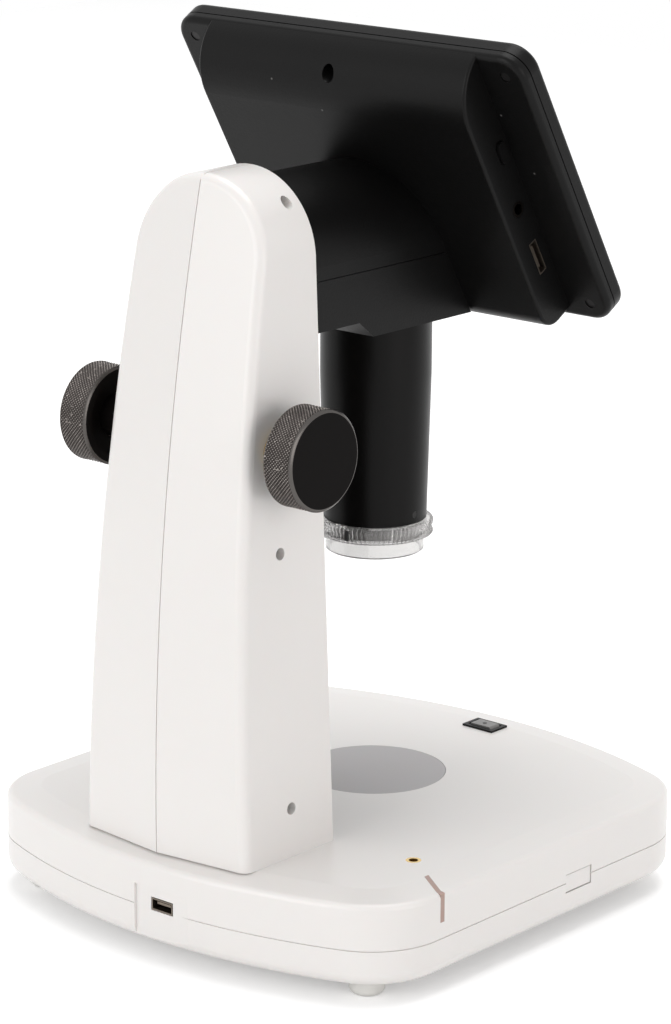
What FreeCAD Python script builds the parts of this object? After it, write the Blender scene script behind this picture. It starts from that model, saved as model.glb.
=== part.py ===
import FreeCAD, Part
import math
import os
import Sketcher

Vector = FreeCAD.Vector
Rotation = FreeCAD.Rotation

# Desk microscope with a screen. Millimetres and degrees.
# Origin: centre of the base on the table. +X is the user's right, -Y faces the user, +Z is up.

# Driving dimensions
DIMENSIONS = {
    # base
    "base_width": 177.9,
    "base_depth": 189.3,
    "base_bow": 20.8,
    "base_corner": 27.0,
    "base_top": 34.8,
    "base_parting": 18.2,
    "base_floor": 6.0,
    "base_wall": 2.4,
    "base_under_round": 5.0,
    "band_width": 11.5,
    "band_drop": 1.5,
    "band_round": 2.0,
    "seam_width": 0.35,
    "seam_depth": 0.4,
    "foot_inset_x": 18.45,
    "foot_inset_y": 27.15,
    "foot_radius": 5.8,
    "foot_fit": 0.05,
    "foot_sunk": 1.0,
    "foot_round": 2.2,
    "post_inset_x": 28.95,
    "post_inset_y": 32.65,
    "post_radius": 3.8,
    "post_screw_radius": 1.5,
    "screw_head_radius": 2.8,
    "screw_head_height": 1.8,
    # stage
    "stage_radius": 24.6,
    "stage_thickness": 2.5,
    "stage_ledge": 1.8,
    "stage_fit": 0.15,
    "light_board_radius": 21.0,
    "light_board_top": 24.0,
    "board_thickness": 1.6,
    "stage_led_ring": 13.0,
    "stage_led_side": 3.0,
    # lamp switch
    "switch_inset": 16.05,
    "switch_length": 13.0,
    "switch_breadth": 8.7,
    "switch_lip": 1.1,
    "switch_proud": 0.7,
    "switch_depth": 11.0,
    "rocker_length": 10.0,
    "rocker_breadth": 5.2,
    "rocker_gap": 0.3,
    "rocker_pin": 0.9,
    "rocker_below": 2.2,
    # threaded inserts beside the column
    "insert_inset_x": 23.05,
    "insert_inset_y": 54.85,
    "insert_radius": 2.5,
    "insert_bore": 1.5,
    "insert_length": 8.0,
    # charge light strip and side plug
    "strip_inset": 41.35,
    "strip_shift": 6.6,
    "strip_width": 2.0,
    "strip_thickness": 1.6,
    "strip_reach": 11.1,
    "strip_low": 23.8,
    "plug_y": -16.7,
    "plug_z": 18.1,
    "plug_length": 12.9,
    "plug_height": 5.7,
    "plug_depth": 3.0,
    "plug_sunk": 0.3,
    "plug_gap": 0.35,
    # power socket
    "socket_x": -7.2,
    "socket_z": 19.6,
    "socket_width": 8.9,
    "socket_height": 3.9,
    "socket_depth": 9.0,
    "socket_shell": 0.4,
    "socket_gap": 0.3,
    "recess_inset": 1.0,
    "recess_half": 11.2,
    "recess_top": 25.2,
    "power_board_width": 52.0,
    "power_board_depth": 36.0,
    "power_board_gap": 3.0,
    # battery
    "battery_width": 54.0,
    "battery_depth": 34.0,
    "battery_height": 9.0,
    "battery_inset": 65.65,
    # column
    "column_inset": 51.35,
    "column_half_low": 35.3,
    "column_half_high": 27.2,
    "column_top": 250.3,
    "column_depth_low": 45.3,
    "column_depth_mid": 40.5,
    "column_depth_high": 22.9,
    "column_turn": 6.3,
    "column_round": 3.5,
    "column_wall": 2.4,
    "column_floor": 4.0,
    "front_panel_depth": 2.8,
    "front_panel_thickness": 2.2,
    "front_panel_gap": 0.1,
    "slot_half": 9.0,
    "column_post_radius": 2.6,
    "column_screw_radius": 1.3,
    "column_recess_radius": 2.0,
    "column_recess_depth": 13.0,
    "post_high_depth": 5.7,
    "post_high_z": 241.3,
    "post_mid_depth": 20.8,
    "post_mid_z": 134.1,
    "post_low_depth": 19.5,
    "post_low_z": 50.8,
    "foot_plate_thickness": 3.0,
    "foot_screw_x": 22.0,
    "foot_screw_near": 9.7,
    "foot_screw_far": 32.7,
    # guide rail, carriage and rack
    "rail_depth": 3.5,
    "rail_web": 2.0,
    "rail_low": 96.0,
    "rail_high": 238.0,
    "rail_flange": 3.5,
    "rail_lip": 2.0,
    "rail_lip_inner": 7.5,
    "rib_thickness": 3.0,
    "slide_gap": 0.05,
    "carriage_half": 11.2,
    "carriage_thickness": 5.1,
    "carriage_low": 196.0,
    "carriage_high": 235.0,
    "arm_half": 7.0,
    "arm_low": 204.0,
    "arm_high": 231.0,
    "travel": 60.0,
    "gear_module": 0.8,
    "gear_teeth": 14.0,
    "gear_face": 6.0,
    "gear_clearance": 0.25,
    "rack_margin": 6.0,
    # focus shaft and knobs
    "shaft_depth": 20.9,
    "shaft_z": 167.1,
    "shaft_radius": 3.0,
    "shaft_fit": 0.04,
    "bush_radius": 4.6,
    "bush_flange": 6.4,
    "bush_flange_thickness": 1.2,
    "bush_length": 9.0,
    "knob_radius": 16.1,
    "knob_thickness": 11.7,
    "knob_face_x": 49.4,
    "knob_chamfer": 0.8,
    "knob_recess_radius": 12.6,
    "knob_recess_depth": 2.2,
    "knob_hub_radius": 7.0,
    "knob_hub_length": 5.0,
    # neck
    "neck_half": 25.6,
    "neck_top": 245.8,
    "neck_deep": 194.0,
    "neck_step_rise": 5.5,
    "neck_step_back": 22.8,
    "neck_step_front": 29.8,
    "neck_seam_rise": 22.0,
    "neck_gap": 0.5,
    "neck_wall": 2.2,
    "bracket_thickness": 3.0,
    "bracket_half": 15.0,
    "bracket_hole": 9.0,
    "bracket_screw_margin": 6.5,
    # screen housing, measured along its own tilted axes
    "screen_ahead": 75.8,
    "screen_z": 244.5,
    "screen_tilt": 30.35,
    "screen_half_width": 72.3,
    "screen_half_height": 52.65,
    "screen_corner": 8.4,
    "screen_parting": 5.3,
    "screen_ledge": 9.2,
    "screen_back": 22.8,
    "dome_half": 55.8,
    "dome_shoulder": 7.0,
    "dome_round": 19.0,
    "dome_bottom": 49.0,
    "dome_low_round": 7.0,
    "dome_end_round": 1.0,
    "screen_wall": 2.2,
    "bezel_round": 2.0,
    "groove_gap": 0.4,
    "window_half_width": 51.5,
    "window_half_height": 39.0,
    "window_x": -12.0,
    "glass_thickness": 1.2,
    "glass_lip": 3.0,
    "panel_thickness": 3.2,
    "panel_margin": 2.0,
    "head_board_back": 12.6,
    "head_board_half_width": 49.0,
    "head_board_half_height": 34.0,
    "head_post_x": 44.0,
    "head_post_v": 30.0,
    "key_x": 56.5,
    "key_pitch": 14.0,
    "key_length": 8.0,
    "key_breadth": 5.0,
    "key_gap": 0.3,
    "key_proud": 0.7,
    "key_travel": 0.5,
    "key_flange": 0.8,
    "key_board_depth": 4.6,
    "key_board_margin": 4.5,
    "cover_screw_x": 65.0,
    "cover_screw_v": 45.5,
    "cover_head_radius": 1.7,
    "cover_screw_radius": 0.85,
    "cover_post_radius": 2.2,
    "cover_screw_sunk": 1.2,
    "screw_play": 0.05,
    "rear_screw_v": 45.6,
    "rear_hole_radius": 2.4,
    "rear_hole_bottom": 12.5,
    "rear_boss_front": 11.0,
    # ports in the end wall of the housing
    "button_v": 17.6,
    "button_back": 13.0,
    "button_length": 8.0,
    "button_breadth": 3.8,
    "button_travel": 0.8,
    "button_proud": 0.9,
    "button_inner": 6.0,
    "jack_v": -3.3,
    "jack_back": 15.2,
    "jack_bore": 1.8,
    "jack_radius": 2.6,
    "jack_length": 12.0,
    "video_v": -23.2,
    "video_back": 14.6,
    "video_length": 12.2,
    "video_breadth": 3.6,
    "video_depth": 8.0,
    "port_gap": 0.1,
    # optical tube
    "tube_radius": 18.4,
    "tube_bottom_radius": 17.2,
    "tube_ahead": 61.3,
    "tube_bore": 15.95,
    "tube_bottom": 124.4,
    "tube_inside_neck": 9.9,
    "tube_lid": 2.4,
    "tube_eye": 9.0,
    "tube_screw_x": 12.5,
    "tube_step": 1.6,
    "spigot_radius": 15.6,
    "spigot_bore": 14.0,
    "spigot_length": 5.0,
    "ring_low": 149.0,
    "ring_high": 173.4,
    "ring_radius": 17.0,
    "ring_fit": 0.08,
    "ring_wall": 2.0,
    "ring_end_gap": 0.2,
    "window_angle": 104.0,
    "barrel_gap": 0.9,
    "barrel_low": 134.0,
    "barrel_length": 24.0,
    "barrel_bore": 10.5,
    "lens_inset": 1.5,
    "lens_edge": 2.0,
    "lens_bulge": 1.0,
    "sensor_drop": 5.5,
    "sensor_side": 8.0,
    "board_fit": 0.2,
    "led_board_hole": 8.0,
    "led_circle": 11.4,
    "led_side": 2.0,
    "led_height": 1.0,
    "set_screw_z": 127.4,
    "set_screw_angle": 90.0,
    "set_screw_radius": 1.1,
    # clear cap
    "cap_bottom": 113.3,
    "cap_collar_low": 118.8,
    "cap_collar_radius": 19.4,
    "cap_radius": 16.4,
    "cap_wall": 1.3,
    "cap_fit": 0.06,
    "cap_gap": 0.1,
    "cap_edge": 0.5,
}

# Places that follow from other sizes
PLACES = {
    "foot_x": "base_width / 2 - foot_inset_x",
    "foot_y": "base_depth / 2 - foot_inset_y",
    "post_x": "base_width / 2 - post_inset_x",
    "post_y": "base_depth / 2 - post_inset_y",
    "insert_x": "base_width / 2 - insert_inset_x",
    "insert_y": "base_depth / 2 - insert_inset_y",
    "switch_y": "switch_inset - base_depth / 2",
    "strip_y": "base_depth / 2 - strip_inset",
    "battery_y": "base_depth / 2 - battery_inset",
    "column_front": "base_depth / 2 - column_inset",
    "column_back_low": "column_front + column_depth_low",
    "column_back_mid": "column_front + column_depth_mid",
    "column_back_high": "column_front + column_depth_high",
    "front_panel_back": "column_front + front_panel_depth",
    "post_high_y": "column_front + post_high_depth",
    "post_mid_y": "column_front + post_mid_depth",
    "post_low_y": "column_front + post_low_depth",
    "foot_screw_front": "column_front + foot_screw_near",
    "foot_screw_back": "column_front + foot_screw_far",
    "rail_front": "column_front + rail_depth",
    "shaft_y": "column_front + shaft_depth",
    "tube_y": "column_front - tube_ahead",
    "screen_y": "column_front - screen_ahead",
    "neck_low": "neck_deep + neck_step_rise",
    "neck_seam": "neck_deep + neck_seam_rise",
    "tube_top": "neck_deep + tube_inside_neck",
    "sensor_z": "tube_top - sensor_drop",
}

# How far a cutting tool runs past the face that it cuts through
PAST = 2.0

document = FreeCAD.newDocument("microscope")
sheet = document.addObject("Spreadsheet::Sheet", "Sizes")
for row, (name, value) in enumerate((DIMENSIONS | PLACES).items(), start=1):
    sheet.set(f"A{row}", name)
    sheet.set(f"B{row}", f"={value}")
    sheet.setAlias(f"B{row}", name)
document.recompute()


class Size:
    """A number together with the formula on the sheet that gives it."""

    def __init__(self, number, formula):
        self.number = number
        self.formula = formula

    def __add__(self, other):
        other = as_size(other)
        return Size(self.number + other.number, f"({self.formula} + {other.formula})")

    def __sub__(self, other):
        other = as_size(other)
        return Size(self.number - other.number, f"({self.formula} - {other.formula})")

    def __mul__(self, other):
        other = as_size(other)
        return Size(self.number * other.number, f"{self.formula} * {other.formula}")

    def __truediv__(self, other):
        other = as_size(other)
        return Size(self.number / other.number, f"{self.formula} / ({other.formula})")

    def __neg__(self):
        return Size(-self.number, f"(0 - {self.formula})")

    def __radd__(self, other):
        return as_size(other) + self

    def __rsub__(self, other):
        return as_size(other) - self

    def __rmul__(self, other):
        return as_size(other) * self


def as_size(value):
    """Give a plain number the same form as a named size."""
    if isinstance(value, Size):
        return value
    return Size(float(value), f"{float(value):.6f}")


def root(value):
    return Size(math.sqrt(value.number), f"sqrt({value.formula})")


def sine(angle):
    return Size(math.sin(math.radians(angle.number)), f"sin({angle.formula})")


def cosine(angle):
    return Size(math.cos(math.radians(angle.number)), f"cos({angle.formula})")


class Dimensions:
    """Every driving dimension as a Size, read by its name."""

    def __getattr__(self, name):
        return Size(float(sheet.get(name)), f"Sizes.{name}")


dim = Dimensions()
subparts = {}


# Helpers that add bound objects to the document

def bind(thing, prop, value):
    thing.setExpression(prop, as_size(value).formula)


def place(thing, x=0, y=0, z=0):
    for letter, value in zip("xyz", (x, y, z)):
        if isinstance(value, Size) or value != 0:
            bind(thing, f"Placement.Base.{letter}", value)
    return thing


def lean(name, *pieces):
    """Pieces drawn along the screen's own axes, leant back with it and carried to its place."""
    group = document.addObject("Part::Compound", name)
    group.Links = list(pieces)
    group.Placement = FreeCAD.Placement(Vector(0, 0, 0), Rotation(Vector(-1, 0, 0), dim.screen_tilt.number))
    bind(group, "Placement.Rotation.Angle", dim.screen_tilt)
    return place(group, 0, dim.screen_y, dim.screen_z)


def keep(name, thing):
    """Name a finished piece, which is also its file's name."""
    thing.Label = name
    subparts[name] = thing
    return thing


def box(name, low, high):
    block = document.addObject("Part::Box", name)
    for prop, near, far in zip(("Length", "Width", "Height"), low, high):
        bind(block, prop, as_size(far) - near)
    return place(block, *low)


def cylinder(name, radius, length, x=0, y=0, z=0, along="z"):
    """A round bar that starts at the point given and runs along the positive axis named."""
    bar = document.addObject("Part::Cylinder", name)
    turns = {"x": (Vector(0, 1, 0), 90), "y": (Vector(-1, 0, 0), 90), "z": (Vector(0, 0, 1), 0)}
    bar.Placement = FreeCAD.Placement(Vector(0, 0, 0), Rotation(*turns[along]))
    bind(bar, "Radius", radius)
    bind(bar, "Height", length)
    return place(bar, x, y, z)


def cut(name, base, *tools):
    result = document.addObject("Part::Cut", name)
    result.Base = base
    result.Tool = tools[0] if len(tools) == 1 else fuse(f"{name}_tools", *tools)
    return result


def fuse(name, *pieces):
    result = document.addObject("Part::MultiFuse", name)
    result.Shapes = list(pieces)
    return result


def common(name, *pieces):
    result = document.addObject("Part::MultiCommon", name)
    result.Shapes = list(pieces)
    return result


def through(x, y):
    """Marks the stretch between two corners of an outline as an arc through this point."""
    return ("arc", (x, y))


def draw(sketch, outline):
    """Draw a closed outline of corners and arcs, every point bound to the sheet."""
    corners = [item for item in outline if item[0] != "arc"]
    middles = {}
    for item, following in zip(outline, outline[1:]):
        if following[0] == "arc":
            middles[corners.index(item)] = following[1]
    if outline[-1][0] == "arc":
        middles[len(corners) - 1] = outline[-1][1]

    def point(pair):
        return Vector(as_size(pair[0]).number, as_size(pair[1]).number, 0)

    count = len(corners)
    for index in range(count):
        start, end = point(corners[index]), point(corners[(index + 1) % count])
        if index in middles:
            sketch.addGeometry(Part.Arc(start, point(middles[index]), end), False)
        else:
            sketch.addGeometry(Part.LineSegment(start, end), False)

    def end_at(index, pair):
        return 1 if (sketch.getPoint(index, 1) - point(pair)).Length < 1e-6 else 2

    def fix(index, end, pair):
        for kind, value in zip(("DistanceX", "DistanceY"), pair):
            value = as_size(value)
            number = sketch.addConstraint(Sketcher.Constraint(kind, -1, 1, index, end, value.number))
            sketch.setExpression(f"Constraints[{number}]", value.formula)

    for index in range(count):
        after = (index + 1) % count
        corner = corners[after]
        sketch.addConstraint(Sketcher.Constraint(
            "Coincident", index, end_at(index, corner), after, end_at(after, corner)))
    for index, corner in enumerate(corners):
        fix(index, end_at(index, corner), corner)
    for index, middle in middles.items():
        mark = sketch.addGeometry(Part.Point(point(middle)), True)
        sketch.addConstraint(Sketcher.Constraint("PointOnObject", mark, 1, index))
        fix(mark, 1, middle)


def new_sketch(body, role, name):
    plane = [item for item in body.Origin.OriginFeatures if item.Role == role][0]
    sketch = body.newObject("Sketcher::SketchObject", name)
    sketch.AttachmentSupport = (plane, [""])
    sketch.MapMode = "FlatFace"
    return sketch


def prism(name, along, outline, start, end):
    """A Body whose one pad runs from start to end along x, y or z.

    The outline is (y, z) points along x, (x, z) points along y and (x, y) points along z.
    """
    role = {"x": "YZ_Plane", "y": "XZ_Plane", "z": "XY_Plane"}[along]
    body = document.addObject("PartDesign::Body", name)
    sketch = new_sketch(body, role, f"{name}_outline")
    draw(sketch, outline)
    offset = -as_size(end) if along == "y" else as_size(start)
    bind(sketch, "AttachmentOffset.Base.z", offset)
    pad = body.newObject("PartDesign::Pad", f"{name}_pad")
    pad.Profile = sketch
    bind(pad, "Length", as_size(end) - start)
    document.recompute()
    return body


def turned(name, outline):
    """A Body turned about the vertical axis from an outline of (radius, height) points."""
    body = document.addObject("PartDesign::Body", name)
    sketch = new_sketch(body, "XZ_Plane", f"{name}_outline")
    draw(sketch, outline)
    spin = body.newObject("PartDesign::Revolution", f"{name}_spin")
    spin.Profile = sketch
    axis = [item for item in body.Origin.OriginFeatures if item.Role == "Z_Axis"][0]
    spin.ReferenceAxis = (axis, [""])
    spin.Angle = 360.0
    document.recompute()
    return body


def edges_of(feature, wanted):
    return [f"Edge{number}" for number, edge in enumerate(feature.Shape.Edges, start=1)
            if wanted(edge.BoundBox)]


def soften(name, source, radius, wanted):
    """A copy of a joined solid with the wanted edges rounded."""
    document.recompute()
    result = document.addObject("Part::Fillet", name)
    result.Base = source
    result.Edges = [(number, radius.number, radius.number)
                    for number, edge in enumerate(source.Shape.Edges, start=1) if wanted(edge.BoundBox)]
    return result


def round_edges(body, name, radius, wanted):
    last = body.Tip
    feature = body.newObject("PartDesign::Fillet", name)
    feature.Base = (last, edges_of(last, wanted))
    bind(feature, "Radius", radius)
    document.recompute()
    return feature


def bevel_edges(body, name, first, second, wanted):
    last = body.Tip
    feature = body.newObject("PartDesign::Chamfer", name)
    feature.Base = (last, edges_of(last, wanted))
    feature.ChamferType = "Two distances"
    bind(feature, "Size", first)
    bind(feature, "Size2", second)
    document.recompute()
    return feature


def upright(bound):
    return bound.XLength < 1e-6 and bound.YLength < 1e-6


def level_at(height):
    return lambda bound: abs(bound.ZMin - height) < 1e-4 and bound.ZLength < 1e-4


def rectangle(left, right, low, high):
    return [(left, low), (right, low), (right, high), (left, high)]


def headed_screws(name, places, head_radius, head_height, shank_radius, shank_length, along="z"):
    """Screws whose heads start at the places given, with shanks along the positive axis."""
    pieces = []
    for index, spot in enumerate(places, start=1):
        pieces.append(cylinder(f"{name}_head_{index}", head_radius, head_height, *spot, along=along))
        pieces.append(cylinder(f"{name}_shank_{index}", shank_radius,
                               head_height + shank_length, *spot, along=along))
    return fuse(name, *pieces)


# Base

def bowed_block(name, inset, low, high):
    """The base's plan, straight at the sides and bowed at front and back, between two heights."""
    half_width = dim.base_width / 2 - inset
    half_depth = dim.base_depth / 2 - inset
    side_end = half_depth - dim.base_bow
    body = prism(name, "z", [
        (-half_width, -side_end), through(0, -half_depth), (half_width, -side_end),
        (half_width, side_end), through(0, half_depth), (-half_width, side_end)], low, high)
    round_edges(body, f"{name}_corners", dim.base_corner - inset, upright)
    return body


def banded_block(name, inset, low, high):
    """A bowed block whose top edge slopes down to the sides in a wide soft band."""
    body = bowed_block(name, inset, low, high)
    top = as_size(high).number
    bevel_edges(body, f"{name}_band", dim.band_drop, dim.band_width, level_at(top))
    drop = dim.band_drop.number
    round_edges(body, f"{name}_soft", dim.band_round,
                lambda bound: level_at(top)(bound) or level_at(top - drop)(bound))
    return body


def parting_groove():
    """A thin line all round the base where its two shells meet."""
    low = dim.base_parting
    high = low + dim.seam_width
    return cut("parting_groove", bowed_block("groove_outside", -PAST, low, high),
               bowed_block("groove_core", dim.seam_depth, low - 1, high + 1))


stage_bottom = dim.base_top - dim.stage_thickness
ceiling = dim.base_top - dim.base_wall
corner_posts = [(dim.post_x * side, dim.post_y * end) for side in (-1, 1) for end in (-1, 1)]
foot_places = [(dim.foot_x * side, dim.foot_y * end) for side in (-1, 1) for end in (-1, 1)]
insert_places = [(dim.insert_x * side, dim.insert_y) for side in (-1, 1)]
foot_screws = [(dim.foot_screw_x * side, depth) for side in (-1, 1)
               for depth in (dim.foot_screw_front, dim.foot_screw_back)]
base_back = dim.base_depth / 2
recess_face = base_back - dim.recess_inset


def strip_solid(name):
    """The light strip: down the side, bent over the band towards the top face."""
    side = -dim.base_width / 2
    bend = dim.base_top - dim.band_drop
    thick = dim.strip_thickness
    half = dim.strip_width / 2
    sheet_form = prism(f"{name}_sheet", "y", [
        (side, dim.strip_low), (side, bend), (side + dim.strip_reach, dim.base_top),
        (side + dim.strip_reach, dim.base_top - thick), (side + thick, bend - thick),
        (side + thick, dim.strip_low)], dim.strip_y - 3 * dim.strip_shift, dim.strip_y + 3 * dim.strip_shift)
    elbow = side + thick
    plan_form = prism(f"{name}_plan", "z", [
        (side - PAST, dim.strip_y - half), (elbow, dim.strip_y - half),
        (side + dim.strip_reach + PAST, dim.strip_y - dim.strip_shift - half),
        (side + dim.strip_reach + PAST, dim.strip_y - dim.strip_shift + half),
        (elbow, dim.strip_y + half), (side - PAST, dim.strip_y + half)],
        dim.base_floor, dim.base_top + PAST)
    return common(name, sheet_form, plan_form)


def plug_block(name, gap, depth, sunk):
    side = -dim.base_width / 2
    half_length = dim.plug_length / 2 + gap
    half_height = dim.plug_height / 2 + gap
    return box(name, (side + sunk, dim.plug_y - half_length, dim.plug_z - half_height),
               (side + depth, dim.plug_y + half_length, dim.plug_z + half_height))


def socket_block(name, gap, front, depth):
    half_width = dim.socket_width / 2 + gap
    half_height = dim.socket_height / 2 + gap
    return box(name, (dim.socket_x - half_width, front - depth, dim.socket_z - half_height),
               (dim.socket_x + half_width, front, dim.socket_z + half_height))


def switch_block(name, inset, low, high):
    half_length = dim.switch_length / 2 - inset
    half_breadth = dim.switch_breadth / 2 - inset
    return box(name, (-half_length, dim.switch_y - half_breadth, low),
               (half_length, dim.switch_y + half_breadth, high))


def recess_block(name):
    return box(name, (dim.socket_x - dim.recess_half, recess_face, dim.base_floor - PAST),
               (dim.socket_x + dim.recess_half, base_back + PAST, dim.recess_top))


def base_top_shell():
    outside = banded_block("top_outside", 0, dim.base_parting, dim.base_top)
    inside = banded_block("top_inside", dim.base_wall, dim.base_parting - PAST, ceiling)
    skin = cut("top_skin", outside, inside)
    added = [cylinder("stage_boss", dim.stage_radius + dim.base_wall, dim.stage_thickness + dim.stage_ledge,
                      0, dim.tube_y, stage_bottom - dim.stage_ledge)]
    for index, (x, y) in enumerate(corner_posts, start=1):
        added.append(cylinder(f"top_post_{index}", dim.post_radius, ceiling + 1 - dim.base_parting,
                              x, y, dim.base_parting))
    for index, (x, y) in enumerate(insert_places, start=1):
        added.append(cylinder(f"insert_boss_{index}", dim.insert_radius + dim.base_wall,
                              dim.insert_length, x, y, dim.base_top - dim.insert_length - dim.base_wall / 2))
    solid = fuse("top_solid", skin, *added)
    removed = [
        cylinder("stage_seat", dim.stage_radius + dim.stage_fit, dim.stage_thickness + PAST,
                 0, dim.tube_y, stage_bottom),
        cylinder("stage_hole", dim.stage_radius - dim.stage_ledge, dim.stage_thickness * 4,
                 0, dim.tube_y, stage_bottom - dim.stage_thickness * 2),
        switch_block("switch_hole", dim.switch_lip - 0.1, ceiling - PAST, dim.base_top + PAST),
        strip_solid("strip_slot"),
        plug_block("top_plug_notch", dim.plug_gap, dim.base_wall + PAST, -PAST),
        recess_block("top_recess"),
        socket_block("top_socket_hole", dim.socket_gap, base_back + PAST, dim.socket_depth + PAST),
        parting_groove(),
    ]
    for index, (x, y) in enumerate(corner_posts, start=1):
        removed.append(cylinder(f"top_post_bore_{index}", dim.post_screw_radius,
                                ceiling - PAST - dim.base_parting, x, y, dim.base_parting))
    for index, (x, y) in enumerate(insert_places, start=1):
        removed.append(cylinder(f"insert_hole_{index}", dim.insert_radius, dim.insert_length + PAST,
                                x, y, dim.base_top - dim.insert_length))
    for index, (x, y) in enumerate(foot_screws, start=1):
        removed.append(cylinder(f"foot_screw_hole_{index}", dim.post_screw_radius + dim.stage_fit,
                                dim.base_wall + 2 * PAST, x, y, ceiling - PAST))
    return keep("base_top_shell", cut("base_top_shell", solid, *removed))


def base_bottom_shell():
    outside = bowed_block("bottom_outside", 0, dim.base_floor, dim.base_parting)
    round_edges(outside, "bottom_under", dim.base_under_round, level_at(dim.base_floor.number))
    floor_top = dim.base_floor + dim.base_wall
    inside = bowed_block("bottom_inside", dim.base_wall, floor_top, dim.base_parting + PAST)
    round_edges(inside, "bottom_inner_under", dim.base_under_round - dim.base_wall, level_at(floor_top.number))
    skin = cut("bottom_skin", outside, inside)
    added = []
    removed = [recess_block("bottom_recess"),
               plug_block("bottom_plug_notch", dim.plug_gap, dim.base_wall + PAST, -PAST),
               socket_block("bottom_socket_hole", dim.socket_gap, base_back + PAST, dim.socket_depth + PAST)]
    for index, (x, y) in enumerate(corner_posts, start=1):
        added.append(cylinder(f"bottom_post_{index}", dim.post_radius, dim.base_parting - dim.base_floor - 1,
                              x, y, dim.base_floor + 1))
        removed.append(cylinder(f"bottom_post_bore_{index}", dim.post_screw_radius + dim.stage_fit,
                                dim.base_parting, x, y, 0))
        removed.append(cylinder(f"bottom_head_bore_{index}", dim.screw_head_radius + dim.stage_fit,
                                dim.base_floor + dim.screw_head_height + 0.5, x, y, 0))
    for index, (x, y) in enumerate(foot_places, start=1):
        added.append(cylinder(f"foot_pad_{index}", dim.foot_radius + dim.base_wall,
                              dim.base_wall + dim.foot_sunk - 1, x, y, dim.base_floor + 1))
        removed.append(cylinder(f"foot_recess_{index}", dim.foot_radius,
                                dim.base_floor + dim.foot_sunk, x, y, 0))
    for index, (x, y) in enumerate(power_board_posts(), start=1):
        added.append(cylinder(f"power_post_{index}", dim.post_radius - 1,
                              power_board_bottom - dim.base_floor - 1, x, y, dim.base_floor + 1))
    light_post = dim.light_board_radius - dim.post_radius
    for index, (turn_x, turn_y) in enumerate(((-1, 0), (1, 0), (0, -1)), start=1):
        added.append(cylinder(f"light_post_{index}", dim.post_radius - 1,
                              dim.light_board_top - dim.board_thickness - dim.base_floor - 1,
                              light_post * turn_x, dim.tube_y + light_post * turn_y, dim.base_floor + 1))
    solid = fuse("bottom_solid", skin, *added)
    return keep("base_bottom_shell", cut("base_bottom_shell", solid, *removed))


power_board_bottom = dim.socket_z - dim.socket_height / 2 - dim.board_thickness
power_board_back = recess_face - dim.base_wall - dim.power_board_gap
board_middle_x = dim.socket_x


def power_board_posts():
    half = dim.power_board_width / 2 - dim.post_radius
    near = power_board_back - dim.power_board_depth + dim.post_radius
    far = power_board_back - dim.post_radius - 2
    return [(board_middle_x + half * side, y) for side in (-1, 1) for y in (near, far)]


def base_fittings():
    feet = []
    for index, (x, y) in enumerate(foot_places, start=1):
        height = dim.base_floor + dim.foot_sunk
        radius = dim.foot_radius - dim.foot_fit
        foot = prism(f"foot_{index}", "z", [
            (x - radius, y), through(x, y - radius), (x + radius, y), through(x, y + radius)], 0, height)
        round_edges(foot, f"foot_edge_{index}", dim.foot_round, level_at(0))
        feet.append(foot)
    keep("rubber_feet", fuse("rubber_feet", *feet))

    head_seat = dim.base_floor + 0.5
    keep("base_screws", headed_screws("base_screws", [(x, y, head_seat) for x, y in corner_posts],
                                      dim.screw_head_radius, dim.screw_head_height, dim.post_screw_radius,
                                      dim.base_parting - dim.base_floor))
    inserts = [cylinder(f"insert_{index}", dim.insert_radius, dim.insert_length, x, y,
                        dim.base_top - dim.insert_length)
               for index, (x, y) in enumerate(insert_places, start=1)]
    bores = [cylinder(f"insert_bore_{index}", dim.insert_bore, dim.insert_length + 2 * PAST, x, y,
                      dim.base_top - dim.insert_length - PAST)
             for index, (x, y) in enumerate(insert_places, start=1)]
    keep("thread_inserts", cut("thread_inserts", fuse("insert_bars", *inserts), *bores))

    keep("charge_light_strip", strip_solid("charge_light_strip"))
    keep("side_blank_plug", plug_block("side_blank_plug", 0, dim.plug_depth, dim.plug_sunk))


def round_the_ring(radius):
    """Eight evenly spaced places round a circle."""
    diagonal = radius * math.sqrt(0.5)
    level = as_size(0)
    return [spot for side in (-1, 1) for spot in (
        (radius * side, level), (level, radius * side),
        (diagonal * side, diagonal), (diagonal * side, -diagonal))]


def stage():
    keep("stage_window", cylinder("stage_window", dim.stage_radius, dim.stage_thickness,
                                  0, dim.tube_y, stage_bottom))
    keep("stage_light_board", cylinder("stage_light_board", dim.light_board_radius, dim.board_thickness,
                                       0, dim.tube_y, dim.light_board_top - dim.board_thickness))
    half = dim.stage_led_side / 2
    spots = [(as_size(0), as_size(0))] + round_the_ring(dim.stage_led_ring)
    lamps = [box(f"stage_led_{index}", (x - half, dim.tube_y + y - half, dim.light_board_top),
                 (x + half, dim.tube_y + y + half, dim.light_board_top + half))
             for index, (x, y) in enumerate(spots, start=1)]
    keep("stage_leds", fuse("stage_leds", *lamps))


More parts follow.
